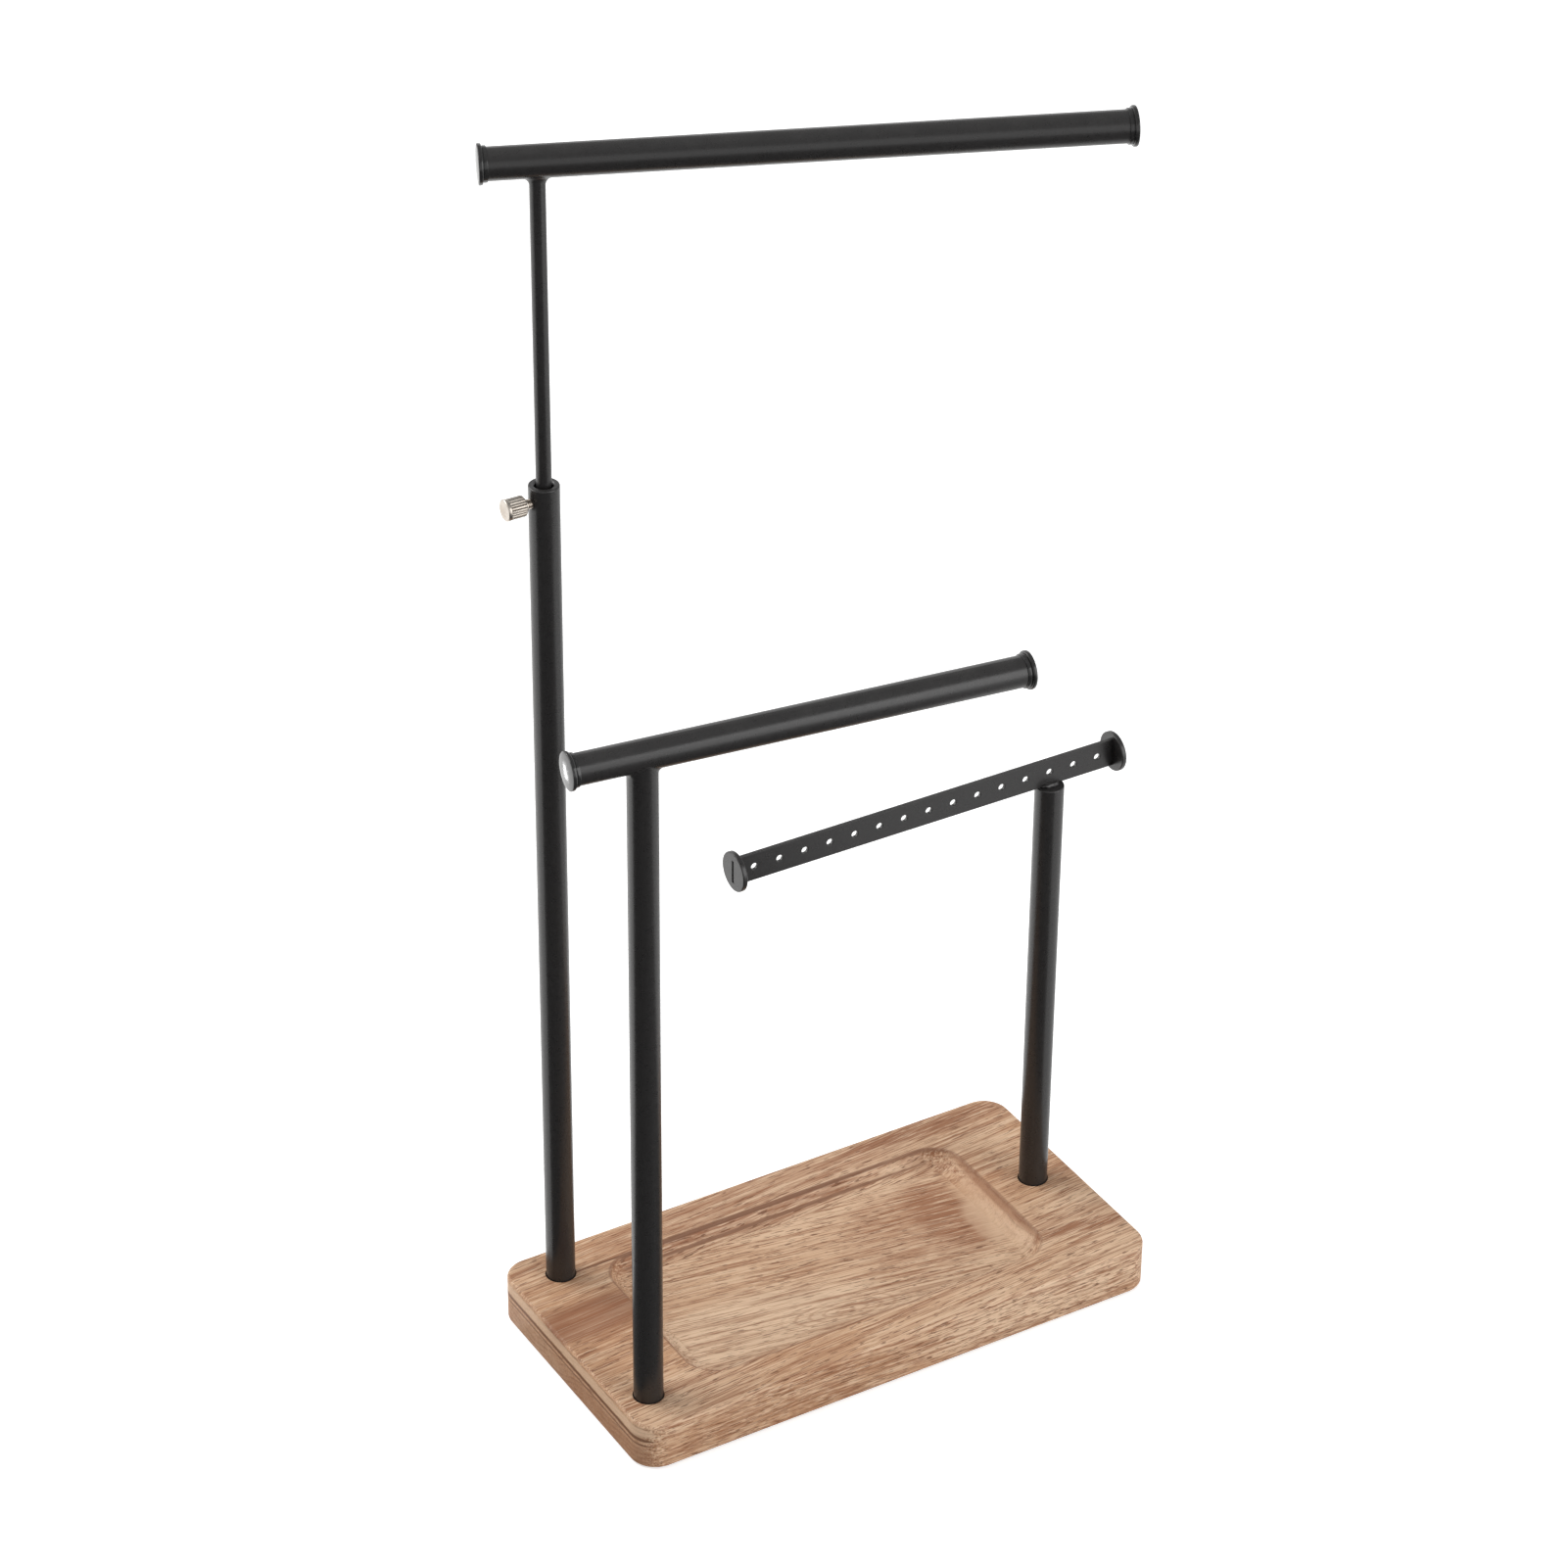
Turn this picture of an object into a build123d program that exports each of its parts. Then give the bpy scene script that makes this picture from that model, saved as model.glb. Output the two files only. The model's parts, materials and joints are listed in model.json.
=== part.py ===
from build123d import *
import os
from math import cos, radians, sin

os.makedirs("parts", exist_ok=True)

# Lengths are in millimetres. The origin is the middle of the face that the stand rests on.
# +X runs along the base towards the earring post, +Y to the back and +Z up.

# Wooden base and its tray
base_length = 256.0
base_depth = 130.0
base_thickness = 22.0
base_corner_radius = 12.0
base_top_edge_radius = 1.6
base_bottom_edge_radius = 1.0
tray_end_margin = 39.0
tray_side_margin = 19.5
tray_depth = 7.0
tray_corner_radius = 15.0
tray_wall_angle = 30.0
tray_cove_radius = 9.0
tray_rim_radius = 0.5

# Anti-slip sheet glued under the base
sheet_thickness = 1.0
sheet_margin = 4.0
sheet_hole_clearance = 0.5

# Round tube posts, standing in sockets of the base
post_diameter = 12.7
post_wall = 1.0
post_rim_radius = 0.6
socket_clearance = 0.45
socket_web = 4.0
plug_length = 20.0
insert_clearance = 0.05
tall_post_height = 389.5
tall_post_from_left = 22.0
tall_post_from_back = 17.2
bracelet_post_from_left = 14.3
bracelet_post_from_front = 21.8
earring_post_from_right = 19.0
earring_post_from_middle = 2.5
earring_cap_length = 8.0

# Screws that hold the posts from below
screw_diameter = 5.0
screw_engagement = 14.0
screw_hole_clearance = 0.25
screw_head_diameter = 9.5
screw_head_height = 3.0
screw_head_edge_radius = 0.8
screw_hex_width = 3.0
screw_hex_depth = 1.6
thread_clearance = 0.05
washer_diameter = 10.5
washer_thickness = 1.0
counterbore_depth = 5.0
counterbore_clearance = 0.75

# Sliding rod, its guide and the collar that it passes through
rod_diameter = 6.35
rod_reach = 138.5
rod_side_gap = 0.7
raise_travel = 40.0
stop_gap = 0.5
collar_length = 18.0
collar_mouth_chamfer = 0.5
guide_length = 14.0
guide_slide_clearance = 0.08
guide_turn_clearance = 0.05
guide_end_gap = 0.3
guide_chamfer = 0.5
spigot_diameter = 4.0
end_screw_diameter = 2.5
end_screw_length = 8.0
end_screw_head_diameter = 7.0
end_screw_head_height = 1.8
end_screw_slot_width = 0.9
end_screw_slot_depth = 0.8

# Cross bars with flanged end plugs
bar_diameter = 13.1
bar_wall = 1.0
weld_gap = 0.05
cap_flange_diameter = 16.0
cap_flange_thickness = 2.2
cap_flange_edge_radius = 0.7
cap_step_diameter = 14.2
cap_step_thickness = 1.8
cap_step_edge_radius = 0.3
cap_plug_length = 9.0
necklace_bar_left = 23.0
necklace_bar_right = 231.0
necklace_bar_angle = -22.0
necklace_weld_radius = 3.4
bracelet_bar_height = 316.0
bracelet_bar_left = 31.8
bracelet_bar_right = 166.2
bracelet_bar_angle = -7.3
bracelet_weld_radius = 2.4

# Earring strip with a row of holes and a disc on each end
strip_height = 214.0
strip_width = 13.2
strip_thickness = 1.6
strip_left = 153.2
strip_right = 31.1
hole_diameter = 3.0
hole_count = 15
hole_end_margin = 7.6
tenon_width = 10.5
tenon_recess = 0.4
tenon_clearance = 0.05
disc_diameter = 17.5
disc_thickness = 2.2
disc_edge_radius = 0.5
bead_radius = 1.4
bead_length = 7.0

# Clamp screw of the tall post
clamp_drop = 7.0
clamp_gap = 0.3
pad_length = 0.6
pad_seat_gap = 0.1
stud_diameter = 4.0
stud_in_head = 5.0
neck_length = 2.0
boss_diameter = 5.8
boss_length = 0.8
barrel_diameter = 8.6
barrel_length = 7.0
flute_count = 20
flute_diameter = 0.9
crown_diameter = 9.0
crown_length = 1.6
crown_chamfer = 0.5

# Levels and places worked out from the sizes above
base_bottom = sheet_thickness
base_top = base_bottom + base_thickness
tray_length = base_length - 2 * tray_end_margin
tray_width = base_depth - 2 * tray_side_margin
post_radius = post_diameter / 2
post_bore_radius = post_radius - post_wall
insert_radius = post_bore_radius - insert_clearance
counterbore_roof = base_bottom + counterbore_depth
counterbore_radius = washer_diameter / 2 + counterbore_clearance
socket_floor = counterbore_roof + socket_web
socket_depth = base_top - socket_floor
thread_hole_radius = screw_diameter / 2 + thread_clearance
tall_post_top = base_top + tall_post_height
collar_bottom = tall_post_top - collar_length
clamp_level = tall_post_top - clamp_drop
guide_top = collar_bottom - stop_gap - raise_travel
guide_bottom = guide_top - guide_length
rod_shoulder = guide_top + guide_end_gap
spigot_bottom = guide_bottom - guide_end_gap
rod_radius = rod_diameter / 2
bar_radius = bar_diameter / 2
cap_head = cap_step_thickness + cap_flange_thickness
necklace_level = tall_post_top + rod_reach
bracelet_level = base_top + bracelet_bar_height
strip_level = base_top + strip_height
earring_post_top = strip_level - strip_width / 2
tall_place = (-base_length / 2 + tall_post_from_left, base_depth / 2 - tall_post_from_back)
bracelet_place = (-base_length / 2 + bracelet_post_from_left, -base_depth / 2 + bracelet_post_from_front)
earring_place = (base_length / 2 - earring_post_from_right, earring_post_from_middle)
post_places = {"tall": tall_place, "bracelet": bracelet_place, "earring": earring_place}


def bar_plane(place, level, angle):
    """Plane across a bar at its post, with its Z axis along the bar."""
    along = (cos(radians(angle)), sin(radians(angle)), 0)
    return Plane(origin=(*place, level), x_dir=(0, 0, 1), z_dir=along)


necklace_plane = bar_plane(tall_place, necklace_level, necklace_bar_angle)
bracelet_plane = bar_plane(bracelet_place, bracelet_level, bracelet_bar_angle)


# Wooden base: rounded board, tray dished by sloping walls, post sockets above and screw counterbores below
with BuildPart() as wooden_base:
    with BuildSketch(Plane.XY.offset(base_bottom)):
        RectangleRounded(base_length, base_depth, base_corner_radius)
    extrude(amount=base_thickness)
    fillet(wooden_base.faces().sort_by(Axis.Z)[-1].edges(), base_top_edge_radius)
    fillet(wooden_base.faces().sort_by(Axis.Z)[0].edges(), base_bottom_edge_radius)
    with BuildSketch(Plane.XY.offset(base_top)):
        RectangleRounded(tray_length, tray_width, tray_corner_radius)
    extrude(amount=tray_depth, dir=(0, 0, -1), taper=tray_wall_angle, mode=Mode.SUBTRACT)
    level_faces = wooden_base.faces().filter_by(Axis.Z).sort_by(Axis.Z)
    fillet(level_faces[1].edges(), tray_cove_radius)
    top_face = wooden_base.faces().filter_by(Axis.Z).sort_by(Axis.Z)[-1]
    fillet(top_face.inner_wires()[0].edges(), tray_rim_radius)
    with BuildSketch(Plane.XY.offset(base_top)):
        with Locations(*post_places.values()):
            Circle(post_radius + socket_clearance)
    extrude(amount=-socket_depth, mode=Mode.SUBTRACT)
    with BuildSketch(Plane.XY.offset(base_bottom)):
        with Locations(*post_places.values()):
            Circle(counterbore_radius)
    extrude(amount=counterbore_depth, mode=Mode.SUBTRACT)
    with BuildSketch(Plane.XY.offset(counterbore_roof)):
        with Locations(*post_places.values()):
            Circle(screw_diameter / 2 + screw_hole_clearance)
    extrude(amount=socket_web, mode=Mode.SUBTRACT)
wooden_base.part.label = "wooden_base"
export_step(wooden_base.part, "parts/wooden_base.step")


# Anti-slip sheet with openings under the screws
with BuildPart() as base_sheet:
    with BuildSketch():
        RectangleRounded(base_length - 2 * sheet_margin, base_depth - 2 * sheet_margin, base_corner_radius)
        with Locations(*post_places.values()):
            Circle(counterbore_radius + sheet_hole_clearance, mode=Mode.SUBTRACT)
    extrude(amount=sheet_thickness)
base_sheet.part.label = "base_sheet"
export_step(base_sheet.part, "parts/base_sheet.step")


# Threaded plugs in the feet of the posts
for post_name, place in post_places.items():
    with BuildPart() as post_plug:
        with BuildSketch(Plane.XY.offset(socket_floor)):
            with Locations(place):
                Circle(insert_radius)
                Circle(thread_hole_radius, mode=Mode.SUBTRACT)
        extrude(amount=plug_length)
    post_plug.part.label = f"{post_name}_post_plug"
    export_step(post_plug.part, f"parts/{post_name}_post_plug.step")


# Washers against the counterbore roofs
with BuildPart() as base_washers:
    with BuildSketch(Plane.XY.offset(counterbore_roof - washer_thickness)):
        with Locations(*post_places.values()):
            Circle(washer_diameter / 2)
            Circle(screw_diameter / 2 + screw_hole_clearance, mode=Mode.SUBTRACT)
    extrude(amount=washer_thickness)
base_washers.part.label = "base_washers"
export_step(base_washers.part, "parts/base_washers.step")


# Button head screws with hexagon sockets
screw_seat = counterbore_roof - washer_thickness
with BuildPart() as base_screws:
    with BuildSketch(Plane.XY.offset(screw_seat - screw_head_height)):
        with Locations(*post_places.values()):
            Circle(screw_head_diameter / 2)
    extrude(amount=screw_head_height)
    fillet(base_screws.edges().filter_by(GeomType.CIRCLE).group_by(Axis.Z)[0], screw_head_edge_radius)
    with BuildSketch(Plane.XY.offset(screw_seat - screw_head_height)):
        with Locations(*post_places.values()):
            RegularPolygon(screw_hex_width / 2, 6, major_radius=False)
    extrude(amount=screw_hex_depth, mode=Mode.SUBTRACT)
    with BuildSketch(Plane.XY.offset(screw_seat)):
        with Locations(*post_places.values()):
            Circle(screw_diameter / 2)
    extrude(amount=washer_thickness + socket_web + screw_engagement)
base_screws.part.label = "base_screws"
export_step(base_screws.part, "parts/base_screws.step")


# Clamp screw plane: its Z axis points out of the tall post, away from the tray
clamp_plane = Plane(origin=(*tall_place, clamp_level), x_dir=(0, 1, 0), z_dir=(-1, 0, 0))
stud_radius = stud_diameter / 2
pad_inner = rod_radius + clamp_gap
stud_inner = pad_inner + pad_length + pad_seat_gap
boss_inner = post_radius + neck_length
barrel_inner = boss_inner + boss_length
crown_inner = barrel_inner + barrel_length
stud_outer = boss_inner + stud_in_head


# Tall tube with an eased rim, tapped through with its collar for the clamp screw
with BuildPart() as tall_post_tube:
    with BuildSketch(Plane.XY.offset(socket_floor)):
        with Locations(tall_place):
            Circle(post_radius)
    extrude(amount=tall_post_top - socket_floor)
    fillet(tall_post_tube.edges().sort_by(Axis.Z)[-1], post_rim_radius)
    with BuildSketch(Plane.XY.offset(socket_floor)):
        with Locations(tall_place):
            Circle(post_bore_radius)
    extrude(amount=tall_post_top - socket_floor, mode=Mode.SUBTRACT)
    with BuildSketch(clamp_plane):
        Circle(stud_radius + thread_clearance)
    extrude(amount=post_diameter, mode=Mode.SUBTRACT)
tall_post_tube.part.label = "tall_post_tube"
export_step(tall_post_tube.part, "parts/tall_post_tube.step")


# Collar in the tube's mouth, threaded for the clamp screw
with BuildPart() as tall_post_collar:
    with BuildSketch(Plane.XY.offset(collar_bottom)):
        with Locations(tall_place):
            Circle(insert_radius)
            Circle(rod_radius + rod_side_gap, mode=Mode.SUBTRACT)
    extrude(amount=collar_length)
    collar_circles = tall_post_collar.edges().filter_by(GeomType.CIRCLE)
    mouth = collar_circles.group_by(Axis.Z)[-1].sort_by(SortBy.RADIUS)[0]
    chamfer(mouth, collar_mouth_chamfer)
    with BuildSketch(clamp_plane):
        Circle(stud_radius + thread_clearance)
    extrude(amount=post_diameter, mode=Mode.SUBTRACT)
tall_post_collar.part.label = "tall_post_collar"
export_step(tall_post_collar.part, "parts/tall_post_collar.step")


def welded_stem(place, bottom, radius, plane, weld_radius):
    """Upright stem coped to the bar above it, with a weld fillet around the joint."""
    bar_stub = 2 * (bar_radius + radius)
    with BuildPart() as stem:
        with BuildSketch(Plane.XY.offset(bottom)):
            with Locations(place):
                Circle(radius)
        extrude(amount=plane.origin.Z - bottom)
        with BuildSketch(plane):
            Circle(bar_radius)
        extrude(amount=bar_stub, both=True)
        plain_kinds = (GeomType.LINE, GeomType.CIRCLE)
        joint_edges = stem.edges().filter_by(lambda edge: edge.geom_type not in plain_kinds)
        fillet(joint_edges, weld_radius)
        with BuildSketch(plane):
            Circle(bar_radius + weld_gap)
        extrude(amount=2 * bar_stub, both=True, mode=Mode.SUBTRACT)
    return stem.part


# Sliding rod with a spigot for its guide, welded under the necklace bar
rod_stem = welded_stem(tall_place, rod_shoulder, rod_radius, necklace_plane, necklace_weld_radius)
with BuildPart() as telescopic_rod:
    add(rod_stem)
    with BuildSketch(Plane.XY.offset(spigot_bottom)):
        with Locations(tall_place):
            Circle(spigot_diameter / 2)
    extrude(amount=rod_shoulder - spigot_bottom)
    with BuildSketch(Plane.XY.offset(spigot_bottom)):
        with Locations(tall_place):
            Circle(end_screw_diameter / 2 + thread_clearance)
    extrude(amount=end_screw_length + guide_end_gap, mode=Mode.SUBTRACT)
telescopic_rod.part.label = "telescopic_rod"
export_step(telescopic_rod.part, "parts/telescopic_rod.step")


# Guide bush that slides in the tall tube while the rod turns in it
with BuildPart() as rod_guide_bush:
    with BuildSketch(Plane.XY.offset(guide_bottom)):
        with Locations(tall_place):
            Circle(post_bore_radius - guide_slide_clearance)
    extrude(amount=guide_length)
    chamfer(rod_guide_bush.edges().filter_by(GeomType.CIRCLE), guide_chamfer)
    with BuildSketch(Plane.XY.offset(guide_bottom)):
        with Locations(tall_place):
            Circle(spigot_diameter / 2 + guide_turn_clearance)
    extrude(amount=guide_length, mode=Mode.SUBTRACT)
rod_guide_bush.part.label = "rod_guide_bush"
export_step(rod_guide_bush.part, "parts/rod_guide_bush.step")


# Slotted screw in the rod's end, which keeps the guide on
with BuildPart() as rod_end_screw:
    with BuildSketch(Plane.XY.offset(spigot_bottom - end_screw_head_height)):
        with Locations(tall_place):
            Circle(end_screw_head_diameter / 2)
    extrude(amount=end_screw_head_height)
    with BuildSketch(Plane.XY.offset(spigot_bottom)):
        with Locations(tall_place):
            Circle(end_screw_diameter / 2)
    extrude(amount=end_screw_length)
    with BuildSketch(Plane.XY.offset(spigot_bottom - end_screw_head_height)):
        with Locations(tall_place):
            Rectangle(end_screw_head_diameter, end_screw_slot_width)
    extrude(amount=end_screw_slot_depth, mode=Mode.SUBTRACT)
rod_end_screw.part.label = "rod_end_screw"
export_step(rod_end_screw.part, "parts/rod_end_screw.step")


# Bracelet post, welded under its bar and hollow like the tall tube
bracelet_stem = welded_stem(bracelet_place, socket_floor, post_radius, bracelet_plane, bracelet_weld_radius)
with BuildPart() as bracelet_post:
    add(bracelet_stem)
    with BuildSketch(Plane.XY.offset(socket_floor)):
        with Locations(bracelet_place):
            Circle(post_bore_radius)
    extrude(amount=bracelet_level - socket_floor, mode=Mode.SUBTRACT)
bracelet_post.part.label = "bracelet_post"
export_step(bracelet_post.part, "parts/bracelet_post.step")


# Cross bars: a tube between two flanged end plugs
bars = {
    "necklace": (necklace_plane, necklace_bar_left, necklace_bar_right),
    "bracelet": (bracelet_plane, bracelet_bar_left, bracelet_bar_right),
}
for bar_name, (plane, left_reach, right_reach) in bars.items():
    left_end = plane.offset(cap_head - left_reach)
    right_end = plane.offset(right_reach - cap_head)
    with BuildPart() as bar_tube:
        with BuildSketch(left_end):
            Circle(bar_radius)
            Circle(bar_radius - bar_wall, mode=Mode.SUBTRACT)
        extrude(amount=left_reach + right_reach - 2 * cap_head)
    bar_tube.part.label = f"{bar_name}_bar"
    export_step(bar_tube.part, f"parts/{bar_name}_bar.step")
    cap_planes = {
        "left": Plane(origin=left_end.origin, x_dir=left_end.x_dir, z_dir=-left_end.z_dir),
        "right": right_end,
    }
    for side, cap_plane in cap_planes.items():
        outward = Axis(cap_plane.origin, cap_plane.z_dir)
        with BuildPart() as bar_cap:
            with BuildSketch(cap_plane.offset(cap_step_thickness)):
                Circle(cap_flange_diameter / 2)
            extrude(amount=cap_flange_thickness)
            fillet(bar_cap.edges().filter_by(GeomType.CIRCLE), cap_flange_edge_radius)
            with BuildSketch(cap_plane):
                Circle(cap_step_diameter / 2)
            extrude(amount=cap_step_thickness)
            step_edge = bar_cap.edges().filter_by(GeomType.CIRCLE).sort_by(outward)[0]
            fillet(step_edge, cap_step_edge_radius)
            with BuildSketch(cap_plane):
                Circle(bar_radius - bar_wall - insert_clearance)
            extrude(amount=-cap_plug_length)
        bar_cap.part.label = f"{bar_name}_bar_cap_{side}"
        export_step(bar_cap.part, f"parts/{bar_name}_bar_cap_{side}.step")


# Earring post with an eased rim
with BuildPart() as earring_post:
    with BuildSketch(Plane.XY.offset(socket_floor)):
        with Locations(earring_place):
            Circle(post_radius)
    extrude(amount=earring_post_top - socket_floor)
    fillet(earring_post.edges().sort_by(Axis.Z)[-1], post_rim_radius)
    with BuildSketch(Plane.XY.offset(socket_floor)):
        with Locations(earring_place):
            Circle(post_bore_radius)
    extrude(amount=earring_post_top - socket_floor, mode=Mode.SUBTRACT)
earring_post.part.label = "earring_post"
export_step(earring_post.part, "parts/earring_post.step")


# Disc that closes the earring post under the strip
with BuildPart() as earring_post_cap:
    with BuildSketch(Plane.XY.offset(earring_post_top)):
        with Locations(earring_place):
            Circle(insert_radius)
    extrude(amount=-earring_cap_length)
earring_post_cap.part.label = "earring_post_cap"
export_step(earring_post_cap.part, "parts/earring_post_cap.step")


# Earring strip on edge, with a row of holes and a tenon at each end
strip_length = strip_left + strip_right
hole_pitch = (strip_length - 2 * hole_end_margin) / (hole_count - 1)
tenon_length = disc_thickness - tenon_recess
strip_middle = earring_place[0] + (strip_right - strip_left) / 2
strip_plane = Plane(origin=(strip_middle, earring_place[1], strip_level), x_dir=(1, 0, 0), z_dir=(0, -1, 0))
with BuildPart() as earring_strip:
    with BuildSketch(strip_plane):
        Rectangle(strip_length, strip_width)
        Rectangle(strip_length + 2 * tenon_length, tenon_width)
        with GridLocations(hole_pitch, strip_width, hole_count, 1):
            Circle(hole_diameter / 2, mode=Mode.SUBTRACT)
    extrude(amount=strip_thickness / 2, both=True)
earring_strip.part.label = "earring_strip"
export_step(earring_strip.part, "parts/earring_strip.step")


# Discs on the ends of the strip, slotted for the tenons
disc_places = {"left": -strip_length / 2, "right": strip_length / 2}
for side, reach in disc_places.items():
    outward = (reach / abs(reach), 0, 0)
    disc_origin = (strip_middle + reach, earring_place[1], strip_level)
    with BuildPart() as earring_disc:
        with BuildSketch(Plane(origin=disc_origin, x_dir=(0, 1, 0), z_dir=outward)):
            Circle(disc_diameter / 2)
        extrude(amount=disc_thickness)
        fillet(earring_disc.edges().filter_by(GeomType.CIRCLE), disc_edge_radius)
        with BuildSketch(Plane(origin=disc_origin, x_dir=(0, 1, 0), z_dir=outward)):
            Rectangle(strip_thickness + 2 * tenon_clearance, tenon_width + 2 * tenon_clearance)
        extrude(amount=disc_thickness, mode=Mode.SUBTRACT)
    earring_disc.part.label = f"earring_disc_{side}"
    export_step(earring_disc.part, f"parts/earring_disc_{side}.step")


# Weld beads along both sides of the strip, on top of the earring post
with BuildPart() as earring_strip_weld:
    for side_sign in (-1, 1):
        bead_origin = (*earring_place, earring_post_top)
        with BuildSketch(Plane(origin=bead_origin, x_dir=(0, side_sign, 0), z_dir=(side_sign, 0, 0))):
            with Locations((strip_thickness / 2, 0)):
                Circle(bead_radius)
            with Locations((strip_thickness / 2, 0)):
                Rectangle(bead_radius, 2 * bead_radius, align=(Align.MAX, Align.CENTER), mode=Mode.SUBTRACT)
                Rectangle(2 * bead_radius, bead_radius, align=(Align.CENTER, Align.MAX), mode=Mode.SUBTRACT)
        extrude(amount=bead_length / 2, both=True)
earring_strip_weld.part.label = "earring_strip_weld"
export_step(earring_strip_weld.part, "parts/earring_strip_weld.step")


# Soft pad between the clamp screw and the rod
with BuildPart() as thumbscrew_pad:
    with BuildSketch(clamp_plane.offset(pad_inner)):
        Circle(stud_radius)
    extrude(amount=pad_length)
thumbscrew_pad.part.label = "thumbscrew_pad"
export_step(thumbscrew_pad.part, "parts/thumbscrew_pad.step")


# Threaded stud of the clamp screw
with BuildPart() as thumbscrew_stud:
    with BuildSketch(clamp_plane.offset(stud_inner)):
        Circle(stud_radius)
    extrude(amount=stud_outer - stud_inner)
thumbscrew_stud.part.label = "thumbscrew_stud"
export_step(thumbscrew_stud.part, "parts/thumbscrew_stud.step")


# Knurled head: boss, fluted barrel and a wider chamfered crown
with BuildPart() as thumbscrew_head:
    with BuildSketch(clamp_plane.offset(boss_inner)):
        Circle(boss_diameter / 2)
    extrude(amount=boss_length)
    with BuildSketch(clamp_plane.offset(barrel_inner)):
        Circle(barrel_diameter / 2)
        with PolarLocations(barrel_diameter / 2, flute_count):
            Circle(flute_diameter / 2, mode=Mode.SUBTRACT)
    extrude(amount=barrel_length)
    with BuildSketch(clamp_plane.offset(crown_inner)):
        Circle(crown_diameter / 2)
    extrude(amount=crown_length)
    chamfer(thumbscrew_head.faces().sort_by(Axis.X)[0].edges(), crown_chamfer)
    with BuildSketch(clamp_plane.offset(boss_inner)):
        Circle(stud_radius + insert_clearance)
    extrude(amount=stud_in_head, mode=Mode.SUBTRACT)
thumbscrew_head.part.label = "thumbscrew_head"
export_step(thumbscrew_head.part, "parts/thumbscrew_head.step")
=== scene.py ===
import json
import math

import bmesh
import bpy
from mathutils import Matrix, Vector, noise

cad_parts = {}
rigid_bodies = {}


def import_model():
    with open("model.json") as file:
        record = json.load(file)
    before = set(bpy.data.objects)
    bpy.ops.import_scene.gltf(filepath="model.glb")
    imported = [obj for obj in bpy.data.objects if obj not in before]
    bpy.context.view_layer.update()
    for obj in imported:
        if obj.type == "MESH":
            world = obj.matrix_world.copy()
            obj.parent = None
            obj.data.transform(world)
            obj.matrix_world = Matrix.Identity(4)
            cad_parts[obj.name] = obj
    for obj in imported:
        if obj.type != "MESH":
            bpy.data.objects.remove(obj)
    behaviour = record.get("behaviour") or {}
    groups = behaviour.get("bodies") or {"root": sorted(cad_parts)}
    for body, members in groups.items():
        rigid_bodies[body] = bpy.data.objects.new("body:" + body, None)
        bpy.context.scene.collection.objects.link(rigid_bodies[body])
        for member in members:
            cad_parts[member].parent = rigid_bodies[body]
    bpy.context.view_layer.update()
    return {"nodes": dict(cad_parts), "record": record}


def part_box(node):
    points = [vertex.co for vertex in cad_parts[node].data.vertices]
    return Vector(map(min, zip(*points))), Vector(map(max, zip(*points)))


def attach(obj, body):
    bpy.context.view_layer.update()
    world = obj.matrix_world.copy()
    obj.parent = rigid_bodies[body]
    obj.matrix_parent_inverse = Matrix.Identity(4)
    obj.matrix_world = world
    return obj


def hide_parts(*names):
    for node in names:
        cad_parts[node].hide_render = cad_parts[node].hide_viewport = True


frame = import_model()
cadNodes = frame["nodes"]
mm = 0.001
mergeGap = 0.000002   # m, points closer than this become one
samePlace = 0.00001   # m, heights and sides closer than this count as one
print("frame loaded:", len(cadNodes), "nodes")


# short hands for shader trees
def feed(tree, socket, value):
    if isinstance(value, bpy.types.NodeSocket):
        tree.links.new(value, socket)
    else:
        socket.default_value = value


def addNode(tree, kind, settings=None, sockets=None):
    made = tree.nodes.new(kind)
    for name, value in (settings or {}).items():
        setattr(made, name, value)
    for name, value in (sockets or {}).items():
        feed(tree, made.inputs[name], value)
    return made


def maths(tree, operation, first, second=0.0, clamp=False):
    settings = {"operation": operation, "use_clamp": clamp}
    return addNode(tree, "ShaderNodeMath", settings, {0: first, 1: second}).outputs[0]


def times(tree, first, second):
    return maths(tree, "MULTIPLY", first, second)


def plus(tree, first, second):
    return maths(tree, "ADD", first, second)


def vectorMaths(tree, operation, *values):
    settings = {"operation": operation}
    return addNode(tree, "ShaderNodeVectorMath", settings, dict(enumerate(values))).outputs


def scaled(tree, vector, scale):
    sockets = {0: vector, "Scale": scale}
    return addNode(tree, "ShaderNodeVectorMath", {"operation": "SCALE"}, sockets).outputs[0]


def split(tree, vector):
    return addNode(tree, "ShaderNodeSeparateXYZ", None, {0: vector}).outputs


def remap(tree, value, low, high, toLow=0.0, toHigh=1.0):
    settings = {"interpolation_type": "SMOOTHSTEP"}
    sockets = {"Value": value, "From Min": low, "From Max": high, "To Min": toLow, "To Max": toHigh}
    return addNode(tree, "ShaderNodeMapRange", settings, sockets).outputs[0]


def mixColours(tree, factor, first, second):
    settings = {"data_type": "RGBA", "blend_type": "MIX"}
    return addNode(tree, "ShaderNodeMix", settings, {0: factor, 6: first, 7: second}).outputs[2]


def stretched(tree, coords, grain):
    scale = [1.0 / (size * mm) for size in grain]  # grain size in mm along each axis
    return addNode(tree, "ShaderNodeMapping", None, {"Vector": coords, "Scale": scale}).outputs[0]


def noiseAt(tree, coords, detail=2.0, roughness=0.5):
    sockets = {"Vector": coords, "Scale": 1.0, "Detail": detail, "Roughness": roughness}
    return addNode(tree, "ShaderNodeTexNoise", None, sockets).outputs[0]


def centred(tree, value):
    return maths(tree, "SUBTRACT", value, 0.5)  # noise runs about 0.5


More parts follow.
